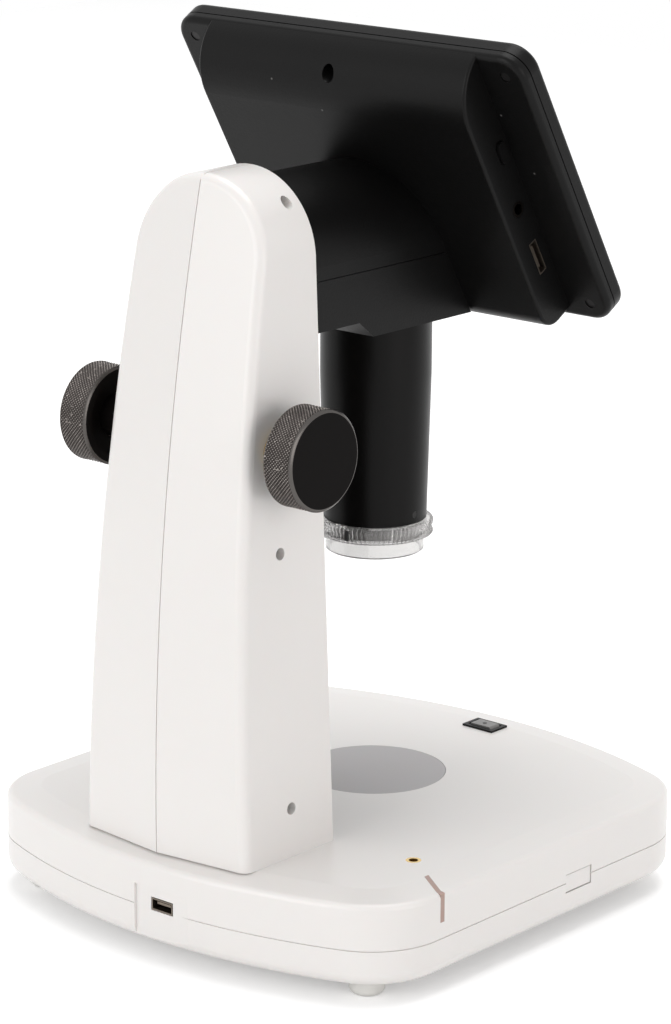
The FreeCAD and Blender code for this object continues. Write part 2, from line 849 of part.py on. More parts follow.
def lamp_switch():
    half_breadth = dim.switch_breadth / 2
    top = dim.base_top + dim.switch_proud
    bottom = top - dim.switch_depth
    flange = switch_block("switch_flange", 0, dim.base_top, top)
    body = switch_block("switch_body", dim.switch_lip, bottom, top)
    pocket_half = dim.rocker_length / 2 + dim.rocker_gap
    pocket_wide = dim.rocker_breadth / 2 + dim.rocker_gap
    pocket = box("switch_pocket", (-pocket_half, dim.switch_y - pocket_wide, bottom + 1),
                 (pocket_half, dim.switch_y + pocket_wide, top + PAST))
    pin_z = top - dim.rocker_below
    pin_hole = cylinder("switch_pin_hole", dim.rocker_pin, dim.switch_breadth - 2.4, 0,
                        dim.switch_y - half_breadth + 1.2, pin_z, along="y")
    keep("switch_frame", cut("switch_frame", fuse("switch_solid", flange, body), pocket, pin_hole))

    reach = dim.rocker_length / 2 - 0.15
    crown = dim.rocker_below + 0.5
    flat = root(reach * reach - crown * crown)
    rocker = prism("rocker_profile", "y", [
        (-flat, pin_z + crown), through(0, pin_z - reach), (flat, pin_z + crown)],
        dim.switch_y - dim.rocker_breadth / 2, dim.switch_y + dim.rocker_breadth / 2)
    pin = cylinder("rocker_pin", dim.rocker_pin - 0.05, dim.switch_breadth - 2.8, 0,
                   dim.switch_y - half_breadth + 1.4, pin_z, along="y")
    keep("light_switch_rocker", fuse("light_switch_rocker", rocker, pin))


def base_electronics():
    top = power_board_bottom + dim.board_thickness
    half = dim.power_board_width / 2
    front = power_board_back - dim.power_board_depth
    keep("base_circuit_board", box("base_circuit_board", (board_middle_x - half, front, power_board_bottom),
                                   (board_middle_x + half, power_board_back, top)))
    shell = socket_block("socket_shell", 0, recess_face, dim.socket_depth)
    thin = dim.socket_shell
    hollow = socket_block("socket_hollow", -thin, recess_face + PAST, dim.socket_depth + PAST - 1)
    tongue_half = dim.socket_width / 3
    tongue = box("socket_tongue", (dim.socket_x - tongue_half, recess_face - dim.socket_depth, dim.socket_z),
                 (dim.socket_x + tongue_half, recess_face - 1, dim.socket_z + 2 * thin))
    keep("power_socket", fuse("power_socket", cut("socket_tube", shell, hollow), tongue))
    floor_top = dim.base_floor + dim.base_wall
    half = dim.battery_width / 2
    half_depth = dim.battery_depth / 2
    keep("battery", box("battery", (-half, dim.battery_y - half_depth, floor_top),
                        (half, dim.battery_y + half_depth, floor_top + dim.battery_height)))


# Column

def arched_outline(half_low, half_high, low, top):
    """A front view with sides that lean in to a round arch."""
    spring = top - half_high
    return [(-half_low, low), (half_low, low), (half_high, spring), through(0, top), (-half_high, spring)]


def half_arch(side, inset, low):
    """One side of the column's arched front view, up to the middle plane."""
    half_low = (dim.column_half_low - inset) * side
    half_high = dim.column_half_high - inset
    spring = dim.column_top - dim.column_half_high
    bulge = half_high * math.sqrt(0.5)
    return [(0, low), (half_low, low), (half_high * side, spring), through(bulge * side, spring + bulge),
            (0, spring + half_high)]


def column_sides(name, inset, low, front):
    """Two mirrored sides whose flat backs meet at the seam and lean forward as they rise."""
    back = dim.column_back_low - inset
    middle = (dim.base_top + dim.column_top) / 2
    below = dim.base_top - 2 * PAST
    deep = -dim.base_depth / 2
    lean_mid = dim.column_back_mid - dim.column_back_low
    lean_high = dim.column_back_high - dim.column_back_low
    sides = []
    for label, side in (("left", -1), ("right", 1)):
        face = prism(f"{name}_{label}_face", "y", half_arch(side, inset, low), front, back + PAST)
        flank = prism(f"{name}_{label}_flank", "x", [
            (deep, below), (0, below), (0, dim.base_top), through(lean_mid, middle),
            (lean_high, dim.column_top), (deep, dim.column_top)],
            -2 * dim.column_half_low, 2 * dim.column_half_low)
        flank.Placement = FreeCAD.Placement(
            Vector(0, 0, 0), Rotation(Vector(0, 0, -side), dim.column_turn.number))
        bind(flank, "Placement.Rotation.Angle", dim.column_turn)
        sides.append(common(f"{name}_{label}", face, place(flank, 0, back, 0)))
    return sides


column_posts = [(dim.post_high_y, dim.post_high_z), (dim.post_mid_y, dim.post_mid_z),
                (dim.post_low_y, dim.post_low_z)]
rail_back = dim.rail_front + dim.rail_web + dim.carriage_thickness + 2 * dim.slide_gap
rail_half = dim.carriage_half + dim.slide_gap + dim.rail_flange


def column_halves():
    limit = dim.column_front.number + 5
    outside = [soften(f"{side.Name}_rounded", side, dim.column_round,
                      lambda bound: bound.ZLength > 20 and bound.YMin > limit and bound.XMax - bound.XMin > 1)
               for side in column_sides("column_outside", 0, dim.base_top, dim.column_front)]
    rounded = fuse("column_rounded", *outside)
    inside = fuse("column_inside", *column_sides(
        "inside", dim.column_wall, dim.base_top + dim.column_floor, dim.column_front - PAST))
    skin = cut("column_skin", rounded, inside)
    wide = dim.column_half_low + PAST
    posts = [cylinder(f"column_post_{index}", dim.column_post_radius, 2 * wide, -wide, y, z, along="x")
             for index, (y, z) in enumerate(column_posts, start=1)]
    ribs = []
    for index, height in enumerate((dim.rail_low, dim.rail_high - dim.rib_thickness), start=1):
        for side, (near, far) in enumerate(((-wide, -rail_half), (rail_half, wide)), start=1):
            ribs.append(box(f"rail_rib_{index}_{side}", (near, dim.rail_front, height),
                            (far, rail_back + dim.rail_lip, height + dim.rib_thickness)))
    held = common("column_inner_work", fuse("column_work", *posts, *ribs), rounded)
    solid = fuse("column_solid", skin, held)
    openings = []
    for index, (y, z) in enumerate(column_posts, start=1):
        openings.append(cylinder(f"column_bore_{index}", dim.column_screw_radius,
                                 dim.column_recess_depth * 2, -dim.column_recess_depth, y, z, along="x"))
        openings.append(cylinder(f"column_recess_{index}", dim.column_recess_radius,
                                 wide - dim.column_recess_depth, -wide, y, z, along="x"))
    openings.append(cylinder("column_shaft_hole", dim.bush_radius, 2 * wide,
                             -wide, dim.shaft_y, dim.shaft_z, along="x"))
    for index, (x, y) in enumerate(foot_screws, start=1):
        openings.append(cylinder(f"column_foot_bore_{index}", dim.post_screw_radius,
                                 dim.column_floor + 2 * PAST, x, y, dim.base_top - PAST))
    whole = cut("column_whole", solid, *openings)
    low = dim.base_top - PAST
    deep = dim.column_back_low + PAST
    high = dim.column_top + PAST
    left_box = box("left_half_box", (-wide, dim.column_front - PAST, low), (0, deep, high))
    right_box = box("right_half_box", (0, dim.column_front - PAST, low), (wide, deep, high))
    line = box("column_seam_line", (-dim.seam_width, dim.column_front - PAST, low), (0, deep, high))
    core = fuse("column_seam_core", *column_sides(
        "seam_core", dim.seam_depth, low, dim.column_front - 2 * PAST))
    keep("column_left_half", cut("column_left_half", common("column_left", whole, left_box),
                                 cut("column_seam", line, core)))
    keep("column_right_half", common("column_right_half", whole, right_box))


def column_fittings():
    screw_spots = [(-dim.column_recess_depth - dim.screw_head_height, y, z) for y, z in column_posts]
    keep("column_screws", headed_screws("column_screws", screw_spots, dim.column_recess_radius - 0.1,
                                        dim.screw_head_height, dim.column_screw_radius,
                                        dim.column_recess_depth * 1.8, along="x"))
    gap = dim.front_panel_gap
    inset = dim.column_wall + gap
    low = dim.base_top + dim.column_floor + gap
    outline = arched_outline(dim.column_half_low - inset, dim.column_half_high - inset, low,
                             dim.column_top - inset)
    face = prism("front_panel_face", "y", outline, dim.front_panel_back - dim.front_panel_thickness,
                 dim.front_panel_back)
    slot = box("front_panel_slot", (-dim.slot_half, dim.column_front - PAST, dim.arm_low - dim.travel - 1),
               (dim.slot_half, dim.front_panel_back + PAST, dim.arm_high + 1))
    keep("column_front_panel", cut("column_front_panel", face, slot))

    plate_low = ceiling - dim.foot_plate_thickness
    margin = dim.post_radius * 2
    plate = box("foot_plate_block", (-dim.foot_screw_x - margin, dim.foot_screw_front - margin, plate_low),
                (dim.foot_screw_x + margin, dim.foot_screw_back + margin / 2, ceiling))
    holes = [cylinder(f"foot_plate_hole_{index}", dim.post_screw_radius, dim.foot_plate_thickness + 2 * PAST,
                      x, y, plate_low - PAST) for index, (x, y) in enumerate(foot_screws, start=1)]
    keep("column_foot_plate", cut("column_foot_plate", plate, *holes))
    keep("column_foot_screws", headed_screws(
        "column_foot_screws", [(x, y, plate_low - dim.screw_head_height) for x, y in foot_screws],
        dim.screw_head_radius, dim.screw_head_height, dim.post_screw_radius,
        dim.foot_plate_thickness + dim.base_wall + dim.column_floor))

    web_back = dim.rail_front + dim.rail_web
    inner = dim.carriage_half + dim.slide_gap
    outside = box("rail_block", (-rail_half, dim.rail_front, dim.rail_low),
                  (rail_half, rail_back + dim.rail_lip, dim.rail_high))
    hollow = box("rail_hollow", (-inner, web_back, dim.rail_low - PAST),
                 (inner, rail_back, dim.rail_high + PAST))
    back_slot = box("rail_back_slot", (-dim.rail_lip_inner, rail_back - PAST, dim.rail_low - PAST),
                    (dim.rail_lip_inner, rail_back + dim.rail_lip + PAST, dim.rail_high + PAST))
    web_slot = box("rail_web_slot", (-dim.arm_half - 0.5, dim.rail_front - PAST, dim.arm_low - dim.travel - 1),
                   (dim.arm_half + 0.5, web_back + PAST, dim.arm_high + 1))
    keep("guide_rail", cut("guide_rail", outside, hollow, back_slot, web_slot))


def bush(name, side):
    """A flanged bush that starts inside the column wall and ends in a collar under the knob."""
    wall_x = column_half_at_shaft
    tip = wall_x + dim.bush_flange_thickness
    start = tip - dim.bush_length
    bar_start = start if side > 0 else -tip
    flange_start = wall_x if side > 0 else -tip
    bar = cylinder(f"{name}_bar", dim.bush_radius, dim.bush_length, bar_start,
                   dim.shaft_y, dim.shaft_z, along="x")
    flange = cylinder(f"{name}_flange", dim.bush_flange, dim.bush_flange_thickness, flange_start,
                      dim.shaft_y, dim.shaft_z, along="x")
    return fuse(name, bar, flange)


spring_line = dim.column_top - dim.column_half_high
column_half_at_shaft = (dim.column_half_low - (dim.column_half_low - dim.column_half_high)
                        * (dim.shaft_z - dim.bush_flange - dim.base_top) / (spring_line - dim.base_top))


def shaft_bushes():
    bore = cylinder("bush_bore", dim.shaft_radius + dim.shaft_fit, 4 * dim.column_half_low,
                    -2 * dim.column_half_low, dim.shaft_y, dim.shaft_z, along="x")
    pair = fuse("bush_pair", bush("bush_left", -1), bush("bush_right", 1))
    keep("shaft_bushes", cut("shaft_bushes", pair, bore))


# Rack and pinion

pitch = math.pi * dim.gear_module
pitch_radius = dim.gear_module * dim.gear_teeth / 2
rack_pitch_y = dim.shaft_y - pitch_radius
rack_low = dim.shaft_z - dim.rack_margin
rack_high = dim.shaft_z + dim.travel + dim.rack_margin


def gear_tooth_points(root_radius, tip_radius, root_half, tip_half):
    return [(root_radius, -root_half), (tip_radius, -tip_half),
            (tip_radius, tip_half), (root_radius, root_half)]


def focus_pinion():
    """Straight-flanked teeth, slimmer than the rack's spaces so that the pair runs with backlash."""
    addendum = dim.gear_module
    root_radius = pitch_radius - 1.25 * addendum
    body = document.addObject("PartDesign::Body", "focus_pinion")
    disc_sketch = new_sketch(body, "XY_Plane", "pinion_root")
    draw(disc_sketch, [(-root_radius, 0), through(0, -root_radius), (root_radius, 0), through(0, root_radius)])
    disc = body.newObject("PartDesign::Pad", "pinion_root_pad")
    disc.Profile = disc_sketch
    bind(disc, "Length", dim.gear_face)
    document.recompute()
    tooth_sketch = new_sketch(body, "XY_Plane", "pinion_tooth")
    draw(tooth_sketch, gear_tooth_points(root_radius - addendum / 2, pitch_radius + 0.8 * addendum,
                                         0.85 * addendum, 0.25 * addendum))
    tooth = body.newObject("PartDesign::Pad", "pinion_tooth_pad")
    tooth.Profile = tooth_sketch
    bind(tooth, "Length", dim.gear_face)
    document.recompute()
    pattern = body.newObject("PartDesign::PolarPattern", "pinion_teeth")
    pattern.Originals = [tooth]
    axis = [item for item in body.Origin.OriginFeatures if item.Role == "Z_Axis"][0]
    pattern.Axis = (axis, [""])
    pattern.Angle = 360.0
    bind(pattern, "Occurrences", dim.gear_teeth)
    body.Tip = pattern
    document.recompute()
    return body


def pinion_and_shaft():
    body = focus_pinion()
    # A tooth points at the rack, which lies towards the user.
    turn = Rotation(Vector(0, 1, 0), 90).multiply(Rotation(Vector(0, 0, 1), -90))
    body.Placement = FreeCAD.Placement(Vector(0, 0, 0), turn)
    place(body, -dim.gear_face / 2, dim.shaft_y, dim.shaft_z)
    hole = cylinder("pinion_bore", dim.shaft_radius, dim.gear_face + 2 * PAST, -dim.gear_face / 2 - PAST,
                    dim.shaft_y, dim.shaft_z, along="x")
    body.Label = "pinion_blank"
    keep("focus_pinion", cut("pinion", body, hole))
    reach = dim.knob_face_x - dim.knob_thickness / 3
    keep("focus_shaft", cylinder("focus_shaft", dim.shaft_radius, 2 * reach,
                                 -reach, dim.shaft_y, dim.shaft_z, along="x"))


def focus_rack():
    """Teeth towards the pinion, with a space where the pinion's tooth stands at rest."""
    addendum = dim.gear_module
    back = rail_back - dim.slide_gap
    tip = rack_pitch_y + 0.8 * addendum
    rooty = rack_pitch_y - addendum - dim.gear_clearance
    half = dim.gear_face / 2
    body = document.addObject("PartDesign::Body", "rack_body")
    bar_sketch = new_sketch(body, "YZ_Plane", "rack_bar")
    draw(bar_sketch, rectangle(back, rooty, rack_low, rack_high))
    bind(bar_sketch, "AttachmentOffset.Base.z", -half)
    bar = body.newObject("PartDesign::Pad", "rack_bar_pad")
    bar.Profile = bar_sketch
    bind(bar, "Length", dim.gear_face)
    document.recompute()
    count = int((rack_high.number - rack_low.number) / pitch.number) - 1
    below = int((dim.rack_margin.number) / pitch.number)
    first = dim.shaft_z + pitch / 2 - pitch * below
    slope = 0.364 * addendum
    tooth_sketch = new_sketch(body, "YZ_Plane", "rack_tooth")
    half_tooth = 0.45 * pitch / 2
    draw(tooth_sketch, [(rooty - 0.2, first - half_tooth - slope), (tip, first - half_tooth + slope * 0.8),
                        (tip, first + half_tooth - slope * 0.8), (rooty - 0.2, first + half_tooth + slope)])
    bind(tooth_sketch, "AttachmentOffset.Base.z", -half)
    tooth = body.newObject("PartDesign::Pad", "rack_tooth_pad")
    tooth.Profile = tooth_sketch
    bind(tooth, "Length", dim.gear_face)
    document.recompute()
    pattern = body.newObject("PartDesign::LinearPattern", "rack_teeth")
    pattern.Originals = [tooth]
    axis = [item for item in body.Origin.OriginFeatures if item.Role == "Z_Axis"][0]
    pattern.Direction = (axis, [""])
    bind(pattern, "Length", pitch * (count - 1))
    pattern.Occurrences = count
    body.Tip = pattern
    document.recompute()
    keep("focus_rack", body)


def focus_knob(name, side):
    """A knurled knob turned on its own axis, recessed on the inner face round its hub."""
    thick = dim.knob_thickness
    bevel = dim.knob_chamfer
    body = turned(f"{name}_turned", [
        (dim.shaft_radius, thick / 3 * 2), (dim.shaft_radius, -dim.knob_hub_length),
        (dim.knob_hub_radius, -dim.knob_hub_length), (dim.knob_hub_radius, dim.knob_recess_depth),
        (dim.knob_recess_radius, dim.knob_recess_depth), (dim.knob_recess_radius, 0),
        (dim.knob_radius - bevel, 0), (dim.knob_radius, bevel), (dim.knob_radius, thick - bevel),
        (dim.knob_radius - bevel, thick), (0, thick), (0, thick / 3 * 2)])
    body.Placement = FreeCAD.Placement(Vector(0, 0, 0), Rotation(Vector(0, 1, 0), 90 * side))
    place(body, (dim.knob_face_x - thick) * side, dim.shaft_y, dim.shaft_z)
    keep(name, body)


# Head: carriage, neck, screen and tube

neck_back = dim.column_front - dim.neck_gap
tilt_sine = sine(dim.screen_tilt)
tilt_cosine = cosine(dim.screen_tilt)


def screen_point(back, up):
    """Side view place (y, z) of a point given along the screen's own axes."""
    return (dim.screen_y + back * tilt_cosine + up * tilt_sine,
            dim.screen_z - back * tilt_sine + up * tilt_cosine)


bracket_screw_heights = (dim.arm_low + dim.bracket_screw_margin, dim.arm_high - dim.bracket_screw_margin)


def carriage():
    front = dim.rail_front + dim.rail_web + dim.slide_gap
    block = box("carriage_block", (-dim.carriage_half, front, dim.carriage_low),
                (dim.carriage_half, front + dim.carriage_thickness, dim.carriage_high))
    arm = box("carriage_arm", (-dim.arm_half, neck_back - dim.neck_wall, dim.arm_low),
              (dim.arm_half, front + 1, dim.arm_high))
    keep("carriage", fuse("carriage", block, arm))
    plate_back = neck_back - dim.neck_wall
    plate_front = plate_back - dim.bracket_thickness
    upright_plate = box("bracket_upright", (-dim.bracket_half, plate_front, dim.tube_top),
                        (dim.bracket_half, plate_back, dim.arm_high + 3))
    shelf = box("bracket_shelf", (-dim.bracket_half, dim.tube_y - dim.bracket_hole - 2, dim.tube_top),
                (dim.bracket_half, plate_back, dim.tube_top + dim.bracket_thickness))
    hole_length = dim.bracket_thickness + 2 * PAST
    removed = [cylinder("bracket_eye", dim.bracket_hole, hole_length, 0, dim.tube_y, dim.tube_top - PAST)]
    for index, side in enumerate((-1, 1), start=1):
        removed.append(cylinder(f"bracket_tube_hole_{index}", dim.set_screw_radius, hole_length,
                                dim.tube_screw_x * side, dim.tube_y, dim.tube_top - PAST))
    for index, height in enumerate(bracket_screw_heights, start=1):
        removed.append(cylinder(f"bracket_screw_hole_{index}", dim.post_screw_radius, hole_length,
                                0, plate_front - PAST, height, along="y"))
    keep("arm_bracket", cut("arm_bracket", fuse("bracket_solid", upright_plate, shelf), *removed))
    screw_spots = [(0, plate_front - dim.screw_head_height, height) for height in bracket_screw_heights]
    keep("bracket_screws", headed_screws("bracket_screws", screw_spots, dim.screw_head_radius,
                                         dim.screw_head_height, dim.post_screw_radius,
                                         dim.bracket_thickness, along="y"))


def neck_form(name, inset, low_cut, back):
    """The neck's solid: an arched bar from the column to the screen, deeper near the tube."""
    half = dim.neck_half - inset
    face = prism(f"{name}_face", "y", arched_outline(half, half, dim.neck_deep - PAST, dim.neck_top - inset),
                 dim.screen_y - dim.screen_half_height, back)
    y_tip, z_tip = screen_point(low_cut, -dim.screen_half_height)
    y_high, z_high = screen_point(low_cut, dim.screen_half_height)
    floor = dim.neck_deep + inset
    floor_y = y_tip + (floor - z_tip) * tilt_sine / tilt_cosine
    step_back = dim.column_front - dim.neck_step_back
    step_front = dim.column_front - dim.neck_step_front
    flank = prism(f"{name}_flank", "x", [
        (back, dim.neck_low + inset), (step_back, dim.neck_low + inset), (step_front, floor),
        (floor_y, floor), (y_high, z_high), (back, z_high)], -dim.neck_half - PAST, dim.neck_half + PAST)
    return common(name, face, flank)


def screen_slab(name, inset, near, far):
    """A rounded rectangle of the housing's outline between two depths behind its face."""
    half_width = dim.screen_half_width - inset
    half_height = dim.screen_half_height - inset
    body = prism(name, "y", rectangle(-half_width, half_width, -half_height, half_height), near, far)
    round_edges(body, f"{name}_corners", dim.screen_corner - inset,
                lambda bound: bound.XLength < 1e-6 and bound.ZLength < 1e-6)
    return body


def dome_bar(name, inset):
    """The thick middle of the rear cover, which rises from its top edge in one long round."""
    near = dim.screen_parting + 1
    back = dim.screen_back - inset
    top = dim.screen_half_height - inset
    low = -dim.dome_bottom + inset
    big = dim.dome_round - inset
    small = dim.dome_low_round - inset
    centre_back = dim.screen_back - dim.dome_round
    reach = dim.dome_shoulder - centre_back
    centre_up = dim.screen_half_height - root(dim.dome_round * dim.dome_round - reach * reach)
    shoulder = centre_back + root(big * big - (top - centre_up) * (top - centre_up))
    slant = math.sqrt(0.5)
    bulge = 1 - slant
    return prism(name, "x", [
        (near, low), (back - small, low), through(back - small * bulge, low + small * bulge),
        (back, low + small), (back, centre_up), through(centre_back + big * slant, centre_up + big * slant),
        (shoulder, top), (near, top)], -dim.dome_half + inset, dim.dome_half - inset)


def face_edge(depth):
    return lambda bound: abs(bound.YMin - depth) < 1e-4 and bound.YLength < 1e-4


cover_screw_places = [(dim.cover_screw_x * side, dim.cover_screw_v * end)
                      for side in (-1, 1) for end in (-1, 1)]
key_heights = [dim.key_pitch * step for step in (-2, -1, 0, 1, 2)]
key_board_half_height = dim.key_pitch * 2 + dim.key_breadth / 2 + dim.key_board_margin
key_post_height = key_board_half_height - dim.cover_post_radius + 1
head_posts = [(dim.head_post_x * side, dim.head_post_v * end) for side in (-1, 1) for end in (-1, 1)]


def window_block(name, margin, near, far):
    half_width = dim.window_half_width + margin
    half_height = dim.window_half_height + margin
    return box(name, (dim.window_x - half_width, near, -half_height),
               (dim.window_x + half_width, far, half_height))


def key_block(name, height, gap, near, far):
    half_length = dim.key_length / 2 + gap
    half_breadth = dim.key_breadth / 2 + gap
    return box(name, (dim.key_x - half_length, near, height - half_breadth),
               (dim.key_x + half_length, far, height + half_breadth))


def front_bezel():
    slab = screen_slab("bezel_slab", 0, 0, dim.screen_parting)
    round_edges(slab, "bezel_face_edge", dim.bezel_round, face_edge(0))
    removed = [screen_slab("bezel_hollow", dim.screen_wall, dim.screen_wall, dim.screen_parting + PAST),
               window_block("bezel_window", 0, -PAST, dim.screen_parting),
               window_block("glass_rebate", dim.glass_lip, -PAST, dim.glass_thickness)]
    for index, height in enumerate(key_heights, start=1):
        removed.append(key_block(f"key_hole_{index}", height, dim.key_gap, -PAST, dim.screen_parting))
    shell = cut("bezel_shell", slab, *removed)
    root_depth = dim.screen_wall - 0.5
    posts = [cylinder(f"bezel_post_{index}", dim.cover_post_radius, dim.screen_parting - root_depth,
                      x, root_depth, z, along="y")
             for index, (x, z) in enumerate(cover_screw_places, start=1)]
    posts.append(cylinder("bezel_top_post", dim.cover_post_radius, dim.rear_boss_front - root_depth,
                          0, root_depth, dim.rear_screw_v, along="y"))
    for index, end in enumerate((-1, 1), start=1):
        posts.append(cylinder(f"key_board_post_{index}", dim.cover_post_radius - 1,
                              dim.key_board_depth - root_depth, dim.key_x, root_depth,
                              key_post_height * end, along="y"))
    bore_radius = dim.cover_screw_radius + dim.screw_play
    bores = [cylinder(f"bezel_bore_{index}", bore_radius, dim.screen_parting, x, dim.screen_wall, z, along="y")
             for index, (x, z) in enumerate(cover_screw_places, start=1)]
    bores.append(cylinder("bezel_top_bore", bore_radius, dim.rear_boss_front, 0, dim.screen_wall,
                          dim.rear_screw_v, along="y"))
    solid = cut("bezel_solid", fuse("bezel_with_posts", shell, *posts), *bores)
    keep("front_bezel", lean("front_bezel", solid))


def screen_and_keys():
    keep("screen_glass", lean("screen_glass", window_block(
        "glass_block", dim.glass_lip - dim.port_gap, 0, dim.glass_thickness)))
    keep("screen_panel", lean("screen_panel", window_block(
        "panel_block", dim.panel_margin, dim.screen_wall, dim.screen_wall + dim.panel_thickness)))
    flange_front = dim.screen_wall + dim.slide_gap
    for index, height in enumerate(key_heights, start=1):
        flange_back = flange_front + dim.key_flange
        stem = key_block(f"key_stem_{index}", height, 0, -dim.key_proud, flange_back)
        flange = key_block(f"key_flange_{index}", height, dim.key_flange, flange_front, flange_back)
        keep(f"menu_key_{index}", lean(f"menu_key_{index}", fuse(f"key_{index}", stem, flange)))
    half = dim.key_length / 2 + dim.key_board_margin
    board = box("key_board_plate", (dim.key_x - half, dim.key_board_depth, -key_board_half_height),
                (dim.key_x + half, dim.key_board_depth + dim.board_thickness, key_board_half_height))
    pressed = flange_front + dim.key_flange + dim.key_travel + 2 * dim.slide_gap
    domes = [cylinder(f"key_dome_{index}", dim.key_breadth / 3, dim.key_board_depth - pressed,
                      dim.key_x, pressed, height, along="y")
             for index, height in enumerate(key_heights, start=1)]
    keep("key_board", lean("key_board", fuse("key_board_solid", board, *domes)))


def wall_port(name, gap, near, far, back, height, length, breadth):
    """A block through the end wall on the left, in the screen's own axes."""
    return box(name, (near, back - breadth / 2 - gap, height - length / 2 - gap),
               (far, back + breadth / 2 + gap, height + length / 2 + gap))


def button_block(name, gap, near, far):
    """A bar with round ends, for the button in the end wall."""
    reach = dim.button_length / 2 + gap
    half = dim.button_breadth / 2 + gap
    low = dim.button_v - reach + half
    high = dim.button_v + reach - half
    return prism(name, "x", [
        (dim.button_back - half, low), through(dim.button_back, low - half), (dim.button_back + half, low),
        (dim.button_back + half, high), through(dim.button_back, high + half),
        (dim.button_back - half, high)], near, far)


def video_block(name, gap, near, far):
    return wall_port(name, gap, near, far, dim.video_back, dim.video_v, dim.video_length, dim.video_breadth)


def ports():
    wall_outside = -dim.dome_half
    wall_inside = wall_outside + dim.screen_wall
    stem = button_block("button_stem", 0, wall_outside - dim.button_proud, wall_outside + dim.button_inner)
    flange = button_block("button_flange", dim.key_flange, wall_inside + dim.slide_gap,
                          wall_inside + dim.slide_gap + dim.key_flange)
    keep("snapshot_button", lean("snapshot_button", fuse("button_solid", stem, flange)))

    thin = dim.socket_shell
    shell = video_block("video_shell", 0, wall_outside, wall_outside + dim.video_depth)
    hollow = video_block("video_hollow", -thin, wall_outside - PAST, wall_outside + dim.video_depth - 1)
    tongue = wall_port("video_tongue", 0, wall_outside + 1, wall_outside + dim.video_depth,
                       dim.video_back, dim.video_v, dim.video_length * 0.7, 2 * thin)
    keep("video_socket", lean("video_socket", fuse("video_solid", cut("video_tube", shell, hollow), tongue)))

    bar = cylinder("jack_bar", dim.jack_radius, dim.jack_length, wall_outside,
                   dim.jack_back, dim.jack_v, along="x")
    bore = cylinder("jack_bore_tool", dim.jack_bore, dim.jack_length - 1 + PAST, wall_outside - PAST,
                    dim.jack_back, dim.jack_v, along="x")
    keep("av_jack", lean("av_jack", cut("jack_solid", bar, bore)))

    board_front = dim.head_board_back - dim.board_thickness
    board = box("head_board_plate", (-dim.head_board_half_width, board_front, -dim.head_board_half_height),
                (dim.head_board_half_width, dim.head_board_back, dim.head_board_half_height))
    switch_near = wall_outside + dim.button_inner + dim.button_travel + 2 * dim.slide_gap
    switch = button_block("snapshot_switch", 0, switch_near, switch_near + dim.button_inner)
    keep("head_circuit_board", lean("head_circuit_board", fuse("head_board_solid", board, switch)))


def cover_fasteners():
    seat = dim.screen_ledge - dim.cover_screw_sunk
    pieces = []
    for index, (x, z) in enumerate(cover_screw_places, start=1):
        pieces.append(cylinder(f"cover_head_{index}", dim.cover_head_radius, dim.cover_screw_sunk - 0.3,
                               x, seat, z, along="y"))
        pieces.append(cylinder(f"cover_shank_{index}", dim.cover_screw_radius, seat - dim.screen_wall,
                               x, dim.screen_wall, z, along="y"))
    keep("cover_screws", lean("cover_screws", fuse("cover_screw_set", *pieces)))
    head = cylinder("rear_screw_head", dim.rear_hole_radius - 0.4, dim.screw_head_height,
                    0, dim.rear_hole_bottom, dim.rear_screw_v, along="y")
    shank = cylinder("rear_screw_shank", dim.cover_screw_radius, dim.rear_hole_bottom - dim.screen_parting, 0,
                     dim.screen_parting, dim.rear_screw_v, along="y")
    keep("rear_screw", lean("rear_screw", fuse("rear_screw_solid", head, shank)))


def tube_hole(name):
    return cylinder(name, dim.tube_radius + dim.key_gap, dim.tube_top - dim.neck_deep + 4 * PAST,
                    0, dim.tube_y, dim.neck_deep - 4 * PAST)


def arm_hole(name):
    half = dim.arm_half + dim.neck_gap
    return box(name, (-half, neck_back - dim.neck_wall - PAST, dim.arm_low - dim.neck_gap),
               (half, neck_back + PAST, dim.arm_high + dim.neck_gap))


